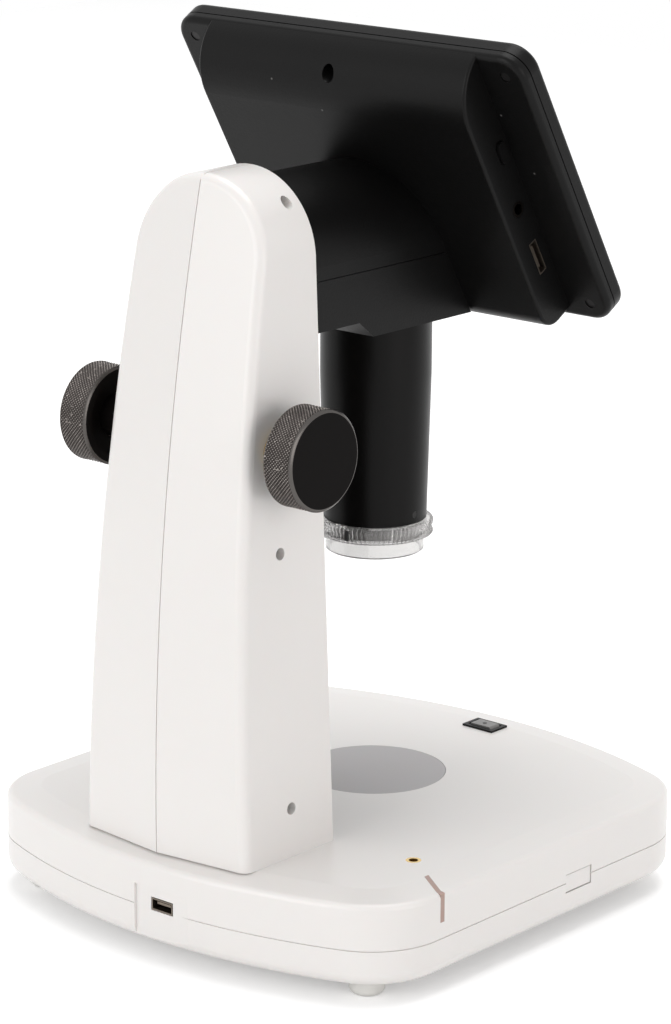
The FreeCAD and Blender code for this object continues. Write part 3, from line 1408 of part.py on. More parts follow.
def rear_cover_and_neck():
    rim = screen_slab("rear_rim", 0, dim.screen_parting + dim.groove_gap, dim.screen_ledge)
    round_edges(rim, "rear_rim_edge", dim.bezel_round, face_edge(dim.screen_ledge.number))
    lip = screen_slab("rear_lip", dim.screen_wall + dim.port_gap,
                      dim.screen_parting - 1, dim.screen_parting + 1)
    dome = dome_bar("dome_outside", 0)
    round_edges(dome, "dome_ends", dim.dome_end_round,
                lambda bound: bound.XLength < 1e-6 and bound.YMin > dim.screen_ledge.number)
    outside = lean("rear_outside", fuse("rear_outside_form", rim, lip, dome))

    rim_inside = screen_slab("rear_rim_inside", 2 * dim.screen_wall, 0, dim.screen_ledge - dim.screen_wall)
    dome_inside = dome_bar("dome_inside", dim.screen_wall)
    hollow = lean("rear_hollow", fuse("rear_hollow_form", rim_inside, dome_inside))

    seam_box = box("above_seam", (-2 * dim.neck_half, dim.screen_y - dim.base_depth, dim.neck_seam),
                   (2 * dim.neck_half, neck_back + PAST, dim.column_top))
    neck_upper = common("neck_upper", neck_form("neck_outside", 0, dim.screen_back - 1, neck_back), seam_box)
    neck_inside = neck_form("neck_inside", dim.neck_wall, dim.head_board_back + PAST, neck_back - dim.neck_wall)
    shell = cut("rear_shell", fuse("rear_solid", outside, neck_upper), hollow, neck_inside)

    boss_radius = dim.rear_hole_radius + dim.neck_wall / 2
    boss = common("rear_boss", cylinder("rear_boss_bar", boss_radius, dim.screen_back, 0, dim.rear_boss_front,
                                        dim.rear_screw_v, along="y"), dome)
    posts = [cylinder(f"head_post_{index}", dim.cover_post_radius, dim.screen_back - 1 - dim.head_board_back,
                      x, dim.head_board_back, z, along="y") for index, (x, z) in enumerate(head_posts, start=1)]
    whole = fuse("rear_with_posts", shell, lean("rear_inner_posts", fuse("rear_posts", boss, *posts)))

    wall_near = -dim.dome_half - PAST
    wall_far = -dim.dome_half + dim.screen_wall + PAST
    tools = [button_block("button_hole", dim.key_gap, wall_near, wall_far),
             video_block("video_hole", dim.port_gap, wall_near, wall_far),
             cylinder("jack_hole", dim.jack_radius + dim.port_gap, wall_far - wall_near, wall_near,
                      dim.jack_back, dim.jack_v, along="x"),
             cylinder("rear_screw_recess", dim.rear_hole_radius, dim.screen_back, 0, dim.rear_hole_bottom,
                      dim.rear_screw_v, along="y"),
             cylinder("rear_screw_bore", dim.cover_screw_radius + dim.screw_play, dim.screen_back, 0,
                      dim.screen_parting, dim.rear_screw_v, along="y")]
    seat = dim.screen_ledge - dim.cover_screw_sunk
    for index, (x, z) in enumerate(cover_screw_places, start=1):
        tools.append(cylinder(f"cover_bore_{index}", dim.cover_screw_radius + dim.screw_play,
                              dim.screen_ledge, x, dim.screen_parting, z, along="y"))
        tools.append(cylinder(f"cover_sink_{index}", dim.cover_head_radius + dim.port_gap, dim.screen_ledge, x,
                              seat, z, along="y"))
    keep("rear_cover", cut("rear_cover", whole, lean("rear_tools", fuse("rear_tool_set", *tools)),
                           tube_hole("rear_tube_hole"), arm_hole("rear_arm_hole")))

    below_seam = box("below_seam", (-2 * dim.neck_half, dim.screen_y - dim.base_depth, dim.neck_deep - PAST),
                     (2 * dim.neck_half, neck_back + PAST, dim.neck_seam))
    lower = common("neck_lower", neck_form("lower_outside", 0, dim.screen_back, neck_back), below_seam)
    line = box("neck_seam_line",
               (-2 * dim.neck_half, dim.screen_y - dim.base_depth, dim.neck_seam - dim.seam_width),
               (2 * dim.neck_half, neck_back + PAST, dim.neck_seam + PAST))
    core = neck_form("neck_seam_core", dim.seam_depth, dim.head_board_back, neck_back + PAST)
    keep("neck_lower_cover", cut("neck_lower_cover", lower, neck_inside, tube_hole("lower_tube_hole"),
                                 arm_hole("lower_arm_hole"), cut("neck_seam", line, core)))


# Optical tube

def on_tube(body):
    """Carry a piece turned about the vertical axis to the tube's own axis."""
    return place(body, 0, dim.tube_y, 0)


def window_sector(name, low, high):
    reach = 2 * dim.tube_radius
    side = reach * sine(dim.window_angle / 2)
    ahead = -reach * cosine(dim.window_angle / 2)
    return on_tube(prism(name, "z", [(0, 0), (-side, ahead), (0, -1.5 * reach), (side, ahead)], low, high))


spigot_low = dim.tube_bottom - dim.spigot_length
led_board_z = dim.tube_bottom + dim.tube_step
seat_radius = dim.ring_radius + dim.ring_fit
ring_inner = dim.ring_radius - dim.ring_wall
barrel_radius = ring_inner - dim.barrel_gap


def tube_housing():
    shell = on_tube(turned("tube_turned", [
        (dim.spigot_bore, spigot_low), (dim.spigot_radius, spigot_low), (dim.spigot_radius, dim.tube_bottom),
        (dim.tube_bottom_radius, dim.tube_bottom), (dim.tube_radius, dim.ring_high),
        (dim.tube_radius, dim.tube_top),
        (dim.tube_eye, dim.tube_top), (dim.tube_eye, dim.tube_top - dim.tube_lid),
        (dim.tube_bore, dim.tube_top - dim.tube_lid), (dim.tube_bore, dim.ring_high),
        (seat_radius, dim.ring_high), (seat_radius, dim.ring_low), (dim.tube_bore, dim.ring_low),
        (dim.tube_bore, led_board_z),
        (dim.spigot_bore, led_board_z)]))
    removed = [window_sector("tube_window", dim.ring_low, dim.ring_high),
               set_screw_bar("set_screw_hole", dim.screw_play, dim.tube_radius)]
    for index, side in enumerate((-1, 1), start=1):
        removed.append(cylinder(f"tube_screw_hole_{index}", dim.set_screw_radius, 2 * dim.tube_lid,
                                dim.tube_screw_x * side, dim.tube_y, dim.tube_top - dim.tube_lid - 1))
    keep("tube_housing", cut("tube_housing", shell, *removed))


def set_screw_bar(name, gap, end):
    """A short bar out across the tube's wall, at its own angle round the tube."""
    bar = document.addObject("Part::Cylinder", name)
    start = dim.tube_bore - dim.port_gap
    turn = Rotation(Vector(0, 0, 1), -dim.set_screw_angle.number - 180)
    bar.Placement = FreeCAD.Placement(Vector(0, 0, 0), turn.multiply(Rotation(Vector(-1, 0, 0), 90)))
    bind(bar, "Radius", dim.set_screw_radius + gap)
    bind(bar, "Height", end - start)
    return place(bar, -start * sine(dim.set_screw_angle), dim.tube_y - start * cosine(dim.set_screw_angle),
                 dim.set_screw_z)


def lens(name, low):
    """A glass with two bulged faces that fills the barrel's bore."""
    top = low + dim.lens_edge
    edge = dim.barrel_bore
    ball = (edge * edge + dim.lens_bulge * dim.lens_bulge) / (2 * dim.lens_bulge)
    rise = root(ball * ball - edge * edge / 4) - ball + dim.lens_bulge
    keep(name, on_tube(turned(f"{name}_turned", [
        (0, low - dim.lens_bulge), through(edge / 2, low - rise), (edge, low), (edge, top),
        through(edge / 2, top + rise), (0, top + dim.lens_bulge)])))


def optics():
    keep("set_screw", set_screw_bar("set_screw", 0, dim.tube_bottom_radius))
    low = dim.ring_low + dim.ring_end_gap
    high = dim.ring_high - dim.ring_end_gap
    keep("zoom_ring", on_tube(turned("zoom_ring_turned", rectangle(ring_inner, dim.ring_radius, low, high))))
    barrel_high = dim.barrel_low + dim.barrel_length
    keep("lens_barrel", on_tube(turned("barrel_turned", rectangle(
        dim.barrel_bore, barrel_radius, dim.barrel_low, barrel_high))))
    lens("front_lens", dim.barrel_low + dim.lens_inset)
    lens("rear_lens", barrel_high - dim.lens_inset - dim.lens_edge)

    board_radius = dim.tube_bore - dim.board_fit
    disc = cylinder("sensor_disc", board_radius, dim.board_thickness, 0, dim.tube_y, dim.sensor_z)
    half = dim.sensor_side / 2
    chip = box("sensor_chip", (-half, dim.tube_y - half, dim.sensor_z - 1),
               (half, dim.tube_y + half, dim.sensor_z))
    keep("sensor_board", fuse("sensor_board", disc, chip))
    ring_board = turned("led_board_turned", rectangle(dim.led_board_hole, board_radius, led_board_z,
                                                      led_board_z + dim.board_thickness))
    keep("led_ring_board", on_tube(ring_board))
    half = dim.led_side / 2
    lamps = [box(f"ring_led_{index}", (x - half, dim.tube_y + y - half, led_board_z - dim.led_height),
                 (x + half, dim.tube_y + y + half, led_board_z))
             for index, (x, y) in enumerate(round_the_ring(dim.led_circle), start=1)]
    keep("ring_leds", fuse("ring_leds", *lamps))

    heads = dim.tube_top + dim.bracket_thickness
    pieces = []
    for index, side in enumerate((-1, 1), start=1):
        x = dim.tube_screw_x * side
        pieces.append(cylinder(f"tube_screw_head_{index}", 2 * dim.set_screw_radius, dim.screw_head_height,
                               x, dim.tube_y, heads))
        pieces.append(cylinder(f"tube_screw_shank_{index}", dim.set_screw_radius - dim.screw_play,
                               heads - dim.tube_top + dim.tube_lid, x, dim.tube_y, dim.tube_top - dim.tube_lid))
    keep("tube_screws", fuse("tube_screws", *pieces))


def objective_cap():
    """The clear cap that turns on the tube's spigot."""
    top = dim.tube_bottom - dim.cap_gap
    shoulder = spigot_low - dim.cap_gap
    inner = dim.cap_radius - dim.cap_wall
    sleeve = dim.spigot_radius + dim.cap_fit
    edge = dim.cap_edge
    keep("objective_cap", on_tube(turned("cap_turned", [
        (sleeve, top), (dim.cap_collar_radius - edge, top), (dim.cap_collar_radius, top - edge),
        (dim.cap_collar_radius, dim.cap_collar_low + edge), (dim.cap_collar_radius - edge, dim.cap_collar_low),
        (dim.cap_radius, dim.cap_collar_low), (dim.cap_radius, dim.cap_bottom), (inner, dim.cap_bottom),
        (inner, shoulder), (sleeve, shoulder)])))


def build():
    base_top_shell()
    base_bottom_shell()
    base_fittings()
    stage()
    lamp_switch()
    base_electronics()
    column_halves()
    column_fittings()
    shaft_bushes()
    pinion_and_shaft()
    focus_rack()
    focus_knob("left_knob", -1)
    focus_knob("right_knob", 1)
    carriage()
    front_bezel()
    screen_and_keys()
    ports()
    cover_fasteners()
    rear_cover_and_neck()
    tube_housing()
    optics()
    objective_cap()


def check_and_export():
    document.recompute()
    for thing in document.Objects:
        if "Invalid" in thing.State or "Error" in thing.State:
            raise RuntimeError(f"{thing.Name} failed: {thing.State}")
    for name, thing in subparts.items():
        if thing.Shape.isNull() or not thing.Shape.isValid() or not thing.Shape.Solids:
            raise RuntimeError(f"{name} has no valid shape")
    os.makedirs("parts", exist_ok=True)
    for name, thing in subparts.items():
        thing.Shape.exportStep(f"parts/{name}.step")
        bound = thing.Shape.BoundBox
        print(f"{name}: {len(thing.Shape.Solids)} solid(s), {thing.Shape.Volume:.0f} mm3, "
              f"x {bound.XMin:.1f}..{bound.XMax:.1f} y {bound.YMin:.1f}..{bound.YMax:.1f} "
              f"z {bound.ZMin:.1f}..{bound.ZMax:.1f}")


build()
check_and_export()
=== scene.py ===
"""Desk microscope with a screen: finishes, fine pieces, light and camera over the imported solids.

Lengths are metres in the frame of the solids: +X is the user's right, -Y faces the user, +Z is up.
"""

from __future__ import annotations

import logging
import math
from dataclasses import dataclass
from enum import Enum
from typing import Callable, Iterable, Sequence

import bmesh
import bpy
from mathutils import Matrix, Vector


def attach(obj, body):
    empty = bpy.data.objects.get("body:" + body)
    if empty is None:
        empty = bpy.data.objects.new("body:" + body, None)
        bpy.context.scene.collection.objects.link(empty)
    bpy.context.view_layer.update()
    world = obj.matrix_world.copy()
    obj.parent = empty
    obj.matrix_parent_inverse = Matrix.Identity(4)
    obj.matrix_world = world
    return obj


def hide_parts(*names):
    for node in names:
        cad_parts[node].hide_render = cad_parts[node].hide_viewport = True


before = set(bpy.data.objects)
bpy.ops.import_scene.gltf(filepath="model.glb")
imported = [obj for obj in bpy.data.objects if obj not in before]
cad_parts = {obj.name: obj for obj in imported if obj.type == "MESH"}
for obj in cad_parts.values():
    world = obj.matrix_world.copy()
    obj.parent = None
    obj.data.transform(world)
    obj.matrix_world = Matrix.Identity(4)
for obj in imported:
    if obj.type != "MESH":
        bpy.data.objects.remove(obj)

log = logging.getLogger("microscope")
MM = 0.001
Colour = tuple[float, float, float]
Profile = Sequence[tuple[float, float]]


class Grain(Enum):
    """How a metal surface was last worked."""

    TURNED = "turned"
    BRUSHED = "brushed"
    CAST = "cast"


class Axis(Enum):
    """The axis that a turned piece is made about."""

    X = 0
    Z = 2


# Shared effects, each a node group that is built once


class Effects:
    """Shader node groups that more than one finish uses."""

    def __init__(self) -> None:
        """Build every group."""
        self.tone = self._tone()
        self.grain = self._grain()
        self.handling = self._handling()
        self.worn_and_highlit = self._worn_and_highlit()
        self.dust = self._dust()

    @staticmethod
    def _new(name: str, inputs: dict[str, float | Colour], outputs: dict[str, str]) -> bpy.types.NodeTree:
        """Start a group with its sockets.

        Args:
            name: The group's name.
            inputs: Each input's name with its default, a number or a colour.
            outputs: Each output's name with its socket type.

        Returns:
            The empty group, with its input and output nodes placed.
        """
        tree = bpy.data.node_groups.new(name, "ShaderNodeTree")
        for label, value in inputs.items():
            kind = "NodeSocketColor" if isinstance(value, tuple) else "NodeSocketFloat"
            socket = tree.interface.new_socket(label, in_out="INPUT", socket_type=kind)
            socket.default_value = (*value, 1.0) if isinstance(value, tuple) else value
        for label, kind in outputs.items():
            tree.interface.new_socket(label, in_out="OUTPUT", socket_type=kind)
        tree.nodes.new("NodeGroupInput").name = "in"
        tree.nodes.new("NodeGroupOutput").name = "out"
        return tree

    @staticmethod
    def _noise(tree: bpy.types.NodeTree, detail: float, factor: float) -> bpy.types.Node:
        """Add a noise in object space whose scale is the group's Scale input times a factor."""
        nodes, links = tree.nodes, tree.links
        place = nodes.new("ShaderNodeTexCoord")
        scale = nodes.new("ShaderNodeMath")
        scale.operation = "MULTIPLY"
        scale.inputs[1].default_value = factor
        links.new(nodes["in"].outputs["Scale"], scale.inputs[0])
        noise = nodes.new("ShaderNodeTexNoise")
        noise.inputs["Detail"].default_value = detail
        links.new(place.outputs["Object"], noise.inputs["Vector"])
        links.new(scale.outputs[0], noise.inputs["Scale"])
        return noise

    def _tone(self) -> bpy.types.NodeTree:
        """Slow drift of a colour towards a darker and a lighter shade of itself."""
        tree = self._new("slow_tone", {"Colour": (0.8, 0.8, 0.8), "Scale": 12.0, "Amount": 0.05},
                         {"Colour": "NodeSocketColor"})
        nodes, links = tree.nodes, tree.links
        noise = self._noise(tree, 3.0, 1.0)
        centre = nodes.new("ShaderNodeMath")
        centre.operation = "SUBTRACT"
        centre.inputs[1].default_value = 0.5
        amount = nodes.new("ShaderNodeMath")
        amount.operation = "MULTIPLY"
        shade = nodes.new("ShaderNodeMath")
        shade.operation = "ADD"
        shade.inputs[1].default_value = 1.0
        mix = nodes.new("ShaderNodeVectorMath")
        mix.operation = "SCALE"
        links.new(noise.outputs["Fac"], centre.inputs[0])
        links.new(centre.outputs[0], amount.inputs[0])
        links.new(nodes["in"].outputs["Amount"], amount.inputs[1])
        links.new(amount.outputs[0], shade.inputs[0])
        links.new(nodes["in"].outputs["Colour"], mix.inputs[0])
        links.new(shade.outputs[0], mix.inputs["Scale"])
        links.new(mix.outputs[0], nodes["out"].inputs["Colour"])
        return tree

    def _grain(self) -> bpy.types.NodeTree:
        """Height of a moulded texture: fine cells broken up by noise."""
        tree = self._new("moulded_grain", {"Scale": 900.0, "Softness": 0.5}, {"Height": "NodeSocketFloat"})
        nodes, links = tree.nodes, tree.links
        noise = self._noise(tree, 2.0, 0.6)
        place = nodes.new("ShaderNodeTexCoord")
        cells = nodes.new("ShaderNodeTexVoronoi")
        links.new(place.outputs["Object"], cells.inputs["Vector"])
        links.new(nodes["in"].outputs["Scale"], cells.inputs["Scale"])
        mix = nodes.new("ShaderNodeMix")
        mix.data_type = "FLOAT"
        links.new(nodes["in"].outputs["Softness"], mix.inputs[0])
        links.new(cells.outputs["Distance"], mix.inputs[2])
        links.new(noise.outputs["Fac"], mix.inputs[3])
        links.new(mix.outputs[0], nodes["out"].inputs["Height"])
        return tree

    def _handling(self) -> bpy.types.NodeTree:
        """Roughness that drifts where a surface was wiped or touched."""
        tree = self._new("handling", {"Roughness": 0.4, "Spread": 0.1, "Scale": 30.0},
                         {"Roughness": "NodeSocketFloat"})
        nodes, links = tree.nodes, tree.links
        noise = self._noise(tree, 4.0, 1.0)
        spread = nodes.new("ShaderNodeMath")
        spread.operation = "MULTIPLY_ADD"
        centre = nodes.new("ShaderNodeMath")
        centre.operation = "SUBTRACT"
        centre.inputs[1].default_value = 0.5
        links.new(noise.outputs["Fac"], centre.inputs[0])
        links.new(centre.outputs[0], spread.inputs[0])
        links.new(nodes["in"].outputs["Spread"], spread.inputs[1])
        links.new(nodes["in"].outputs["Roughness"], spread.inputs[2])
        links.new(spread.outputs[0], nodes["out"].inputs["Roughness"])
        return tree

    def _worn_and_highlit(self) -> bpy.types.NodeTree:
        """Mask of raised edges where a finish has worn thin, also laid on as a painted edge highlight."""
        tree = self._new("rubbed_edges", {"Scale": 300.0, "Amount": 0.5}, {"Mask": "NodeSocketFloat"})
        nodes, links = tree.nodes, tree.links
        noise = self._noise(tree, 3.0, 1.0)
        shape = nodes.new("ShaderNodeNewGeometry")
        ramp = nodes.new("ShaderNodeMapRange")
        ramp.inputs["From Min"].default_value = 0.51
        ramp.inputs["From Max"].default_value = 0.60
        broken = nodes.new("ShaderNodeMath")
        broken.operation = "MULTIPLY"
        amount = nodes.new("ShaderNodeMath")
        amount.operation = "MULTIPLY"
        links.new(shape.outputs["Pointiness"], ramp.inputs["Value"])
        links.new(ramp.outputs["Result"], broken.inputs[0])
        links.new(noise.outputs["Fac"], broken.inputs[1])
        links.new(broken.outputs[0], amount.inputs[0])
        links.new(nodes["in"].outputs["Amount"], amount.inputs[1])
        links.new(amount.outputs[0], nodes["out"].inputs["Mask"])
        return tree

    def _dust(self) -> bpy.types.NodeTree:
        """Mask of a few settled specks."""
        tree = self._new("dust_specks", {"Scale": 260.0, "Amount": 0.3}, {"Mask": "NodeSocketFloat"})
        nodes, links = tree.nodes, tree.links
        place = nodes.new("ShaderNodeTexCoord")
        cells = nodes.new("ShaderNodeTexVoronoi")
        links.new(place.outputs["Object"], cells.inputs["Vector"])
        links.new(nodes["in"].outputs["Scale"], cells.inputs["Scale"])
        near = nodes.new("ShaderNodeMapRange")
        near.inputs["From Min"].default_value = 0.10
        near.inputs["From Max"].default_value = 0.04
        chance = nodes.new("ShaderNodeSeparateColor")
        rare = nodes.new("ShaderNodeMath")
        rare.operation = "GREATER_THAN"
        rare.inputs[1].default_value = 0.93
        both = nodes.new("ShaderNodeMath")
        both.operation = "MULTIPLY"
        amount = nodes.new("ShaderNodeMath")
        amount.operation = "MULTIPLY"
        links.new(cells.outputs["Distance"], near.inputs["Value"])
        links.new(cells.outputs["Color"], chance.inputs[0])
        links.new(chance.outputs[0], rare.inputs[0])
        links.new(near.outputs["Result"], both.inputs[0])
        links.new(rare.outputs[0], both.inputs[1])
        links.new(both.outputs[0], amount.inputs[0])
        links.new(nodes["in"].outputs["Amount"], amount.inputs[1])
        links.new(amount.outputs[0], nodes["out"].inputs["Mask"])
        return tree


# Finishes


@dataclass(frozen=True)
class Finish:
    """What every finish has: a name, and a Principled shader to set up."""

    name: str

    def start(self) -> tuple[bpy.types.Material, bpy.types.NodeTree, bpy.types.Node]:
        """Make the material.

        Returns:
            The material, its node tree and its Principled node.
        """
        material = bpy.data.materials.new(self.name)
        material.use_nodes = True
        return material, material.node_tree, material.node_tree.nodes["Principled BSDF"]

    @staticmethod
    def group(tree: bpy.types.NodeTree, effect: bpy.types.NodeTree, **values: float | Colour) -> bpy.types.Node:
        """Place a shared effect with this finish's own values.

        Args:
            tree: The material's node tree.
            effect: The shared group.
            values: A value for each input that is set, by its name.

        Returns:
            The group node.
        """
        node = tree.nodes.new("ShaderNodeGroup")
        node.node_tree = effect
        for label, value in values.items():
            node.inputs[label].default_value = (*value, 1.0) if isinstance(value, tuple) else value
        return node

    @staticmethod
    def bump(tree: bpy.types.NodeTree, height: bpy.types.NodeSocket, shader: bpy.types.Node,
             distance: float, strength: float = 1.0) -> None:
        """Feed a height to the shader's normal through a bump.

        Args:
            tree: The material's node tree.
            height: The socket that gives the height.
            shader: The Principled node.
            distance: The height's full depth in metres.
            strength: How much of it shows.
        """
        node = tree.nodes.new("ShaderNodeBump")
        node.inputs["Distance"].default_value = distance
        node.inputs["Strength"].default_value = strength
        tree.links.new(height, node.inputs["Height"])
        tree.links.new(node.outputs["Normal"], shader.inputs["Normal"])

    @staticmethod
    def over(tree: bpy.types.NodeTree, base: bpy.types.NodeSocket, mask: bpy.types.NodeSocket,
             colour: Colour) -> bpy.types.NodeSocket:
        """Lay a colour over another where a mask says.

        Args:
            tree: The material's node tree.
            base: The colour underneath.
            mask: Where the new colour lies.
            colour: The new colour.

        Returns:
            The mixed colour's socket.
        """
        mix = tree.nodes.new("ShaderNodeMix")
        mix.data_type = "RGBA"
        tree.links.new(mask, mix.inputs[0])
        tree.links.new(base, mix.inputs[6])
        mix.inputs[7].default_value = (*colour, 1.0)
        return mix.outputs[2]


@dataclass(frozen=True)
class Moulded(Finish):
    """Moulded plastic or rubber."""

    colour: Colour
    roughness: float
    spread: float = 0.06
    tone: float = 0.04
    tone_scale: float = 14.0
    grain_scale: float = 900.0
    grain_depth: float = 0.00002
    softness: float = 0.5
    dust: float = 0.0
    coat: float = 0.0
    shine: float = 0.5
    glow_through: float = 0.0

    def make(self, effects: Effects) -> bpy.types.Material:
        """Build the material.

        Args:
            effects: The shared node groups.

        Returns:
            The finished material.
        """
        material, tree, shader = self.start()
        links = tree.links
        tone = self.group(tree, effects.tone, Colour=self.colour, Scale=self.tone_scale, Amount=self.tone)
        colour = tone.outputs["Colour"]
        if self.dust > 0:
            dust = self.group(tree, effects.dust, Scale=210.0, Amount=self.dust)
            colour = self.over(tree, colour, dust.outputs["Mask"], (0.42, 0.41, 0.40))
        links.new(colour, shader.inputs["Base Color"])
        handling = self.group(tree, effects.handling, Roughness=self.roughness, Spread=self.spread, Scale=26.0)
        links.new(handling.outputs["Roughness"], shader.inputs["Roughness"])
        grain = self.group(tree, effects.grain, Scale=self.grain_scale, Softness=self.softness)
        self.bump(tree, grain.outputs["Height"], shader, self.grain_depth)
        shader.inputs["Specular IOR Level"].default_value = self.shine
        shader.inputs["Coat Weight"].default_value = self.coat
        shader.inputs["Coat Roughness"].default_value = 0.12
        shader.inputs["Subsurface Weight"].default_value = self.glow_through
        shader.inputs["Subsurface Scale"].default_value = 0.002
        return material


@dataclass(frozen=True)
class Metal(Finish):
    """Worked metal, uncoated or with a dark finish whose raised edges are painted lighter: partly a worn-through
    finish, partly a painted edge highlight.
    """

    colour: Colour
    roughness: float
    grain: Grain = Grain.CAST
    spread: float = 0.1
    bare_and_highlight: Colour = (0.62, 0.61, 0.60)
    wear_and_highlight: float = 0.0
    depth: float = 0.00002
    metallic: float = 1.0
    shine: float = 0.5
    turned_about: Axis = Axis.Z
    turned_at: tuple[float, float, float] = (0.0, 0.0, 0.0)

    def make(self, effects: Effects) -> bpy.types.Material:
        """Build the material.

        Args:
            effects: The shared node groups.

        Returns:
            The finished material.
        """
        material, tree, shader = self.start()
        nodes, links = tree.nodes, tree.links
        tone = self.group(tree, effects.tone, Colour=self.colour, Scale=60.0, Amount=0.12)
        colour = tone.outputs["Colour"]
        # raised edges take the lighter edge colour: worn-through finish and painted edge highlight
        if self.wear_and_highlight > 0:
            worn_and_highlit = self.group(tree, effects.worn_and_highlit, Scale=420.0, Amount=self.wear_and_highlight)
            colour = self.over(tree, colour, worn_and_highlit.outputs["Mask"], self.bare_and_highlight)
        links.new(colour, shader.inputs["Base Color"])
        handling = self.group(tree, effects.handling, Roughness=self.roughness, Spread=self.spread, Scale=90.0)
        links.new(handling.outputs["Roughness"], shader.inputs["Roughness"])
        shader.inputs["Metallic"].default_value = self.metallic
        shader.inputs["Specular IOR Level"].default_value = self.shine
        place = nodes.new("ShaderNodeTexCoord")
        if self.grain is Grain.CAST:
            cast = self.group(tree, effects.grain, Scale=1400.0, Softness=0.7)
            self.bump(tree, cast.outputs["Height"], shader, self.depth)
            return material
        lines = nodes.new("ShaderNodeTexWave" if self.grain is Grain.TURNED else "ShaderNodeTexNoise")
        lay = nodes.new("ShaderNodeMapping")
        if self.grain is Grain.TURNED:
            lines.wave_type = "RINGS"
            lines.rings_direction = self.turned_about.name
            lines.inputs["Scale"].default_value = 700.0
            lines.inputs["Distortion"].default_value = 0.6
            lay.inputs["Location"].default_value = [-value for value in self.turned_at]
        else:
            lay.inputs["Scale"].default_value = (1.0, 30.0, 30.0)
            lines.inputs["Scale"].default_value = 90.0
        links.new(place.outputs["Object"], lay.inputs["Vector"])
        links.new(lay.outputs[0], lines.inputs["Vector"])
        self.bump(tree, lines.outputs["Fac"], shader, self.depth)
        return material


@dataclass(frozen=True)
class Clear(Finish):
    """Clear plastic or glass, a little scuffed."""

    colour: Colour
    roughness: float = 0.04
    index: float = 1.46
    milky: float = 0.0
    grain_depth: float = 0.00001

    def make(self, effects: Effects) -> bpy.types.Material:
        """Build the material.

        Args:
            effects: The shared node groups.

        Returns:
            The finished material.
        """
        material, tree, shader = self.start()
        links = tree.links
        tone = self.group(tree, effects.tone, Colour=self.colour, Scale=40.0, Amount=0.03)
        links.new(tone.outputs["Colour"], shader.inputs["Base Color"])
        handling = self.group(tree, effects.handling, Roughness=self.roughness, Spread=0.05, Scale=120.0)
        links.new(handling.outputs["Roughness"], shader.inputs["Roughness"])
        grain = self.group(tree, effects.grain, Scale=300.0, Softness=0.8)
        self.bump(tree, grain.outputs["Height"], shader, self.grain_depth)
        shader.inputs["IOR"].default_value = self.index
        shader.inputs["Transmission Weight"].default_value = 1.0 - self.milky
        return material


@dataclass(frozen=True)
class Board(Finish):
    """Circuit board: solder mask with lighter tracks under it and bright pads."""

    colour: Colour = (0.012, 0.085, 0.035)
    track: Colour = (0.03, 0.16, 0.07)
    pad: Colour = (0.72, 0.68, 0.55)

    def make(self, effects: Effects) -> bpy.types.Material:
        """Build the material.

        Args:
            effects: The shared node groups.

        Returns:
            The finished material.
        """
        material, tree, shader = self.start()
        nodes, links = tree.nodes, tree.links
        place = nodes.new("ShaderNodeTexCoord")
        tone = self.group(tree, effects.tone, Colour=self.colour, Scale=50.0, Amount=0.2)
        tracks = nodes.new("ShaderNodeTexBrick")
        tracks.inputs["Scale"].default_value = 260.0
        tracks.inputs["Mortar Size"].default_value = 0.03
        tracks.inputs["Color1"].default_value = (0, 0, 0, 1)
        tracks.inputs["Color2"].default_value = (0, 0, 0, 1)
        tracks.inputs["Mortar"].default_value = (1, 1, 1, 1)
        links.new(place.outputs["Object"], tracks.inputs["Vector"])
        colour = self.over(tree, tone.outputs["Colour"], tracks.outputs["Color"], self.track)
        pads = self.group(tree, effects.dust, Scale=420.0, Amount=1.0)
        colour = self.over(tree, colour, pads.outputs["Mask"], self.pad)
        links.new(colour, shader.inputs["Base Color"])
        handling = self.group(tree, effects.handling, Roughness=0.35, Spread=0.1, Scale=60.0)
        links.new(handling.outputs["Roughness"], shader.inputs["Roughness"])
        self.bump(tree, tracks.outputs["Color"], shader, 0.00003)
        return material


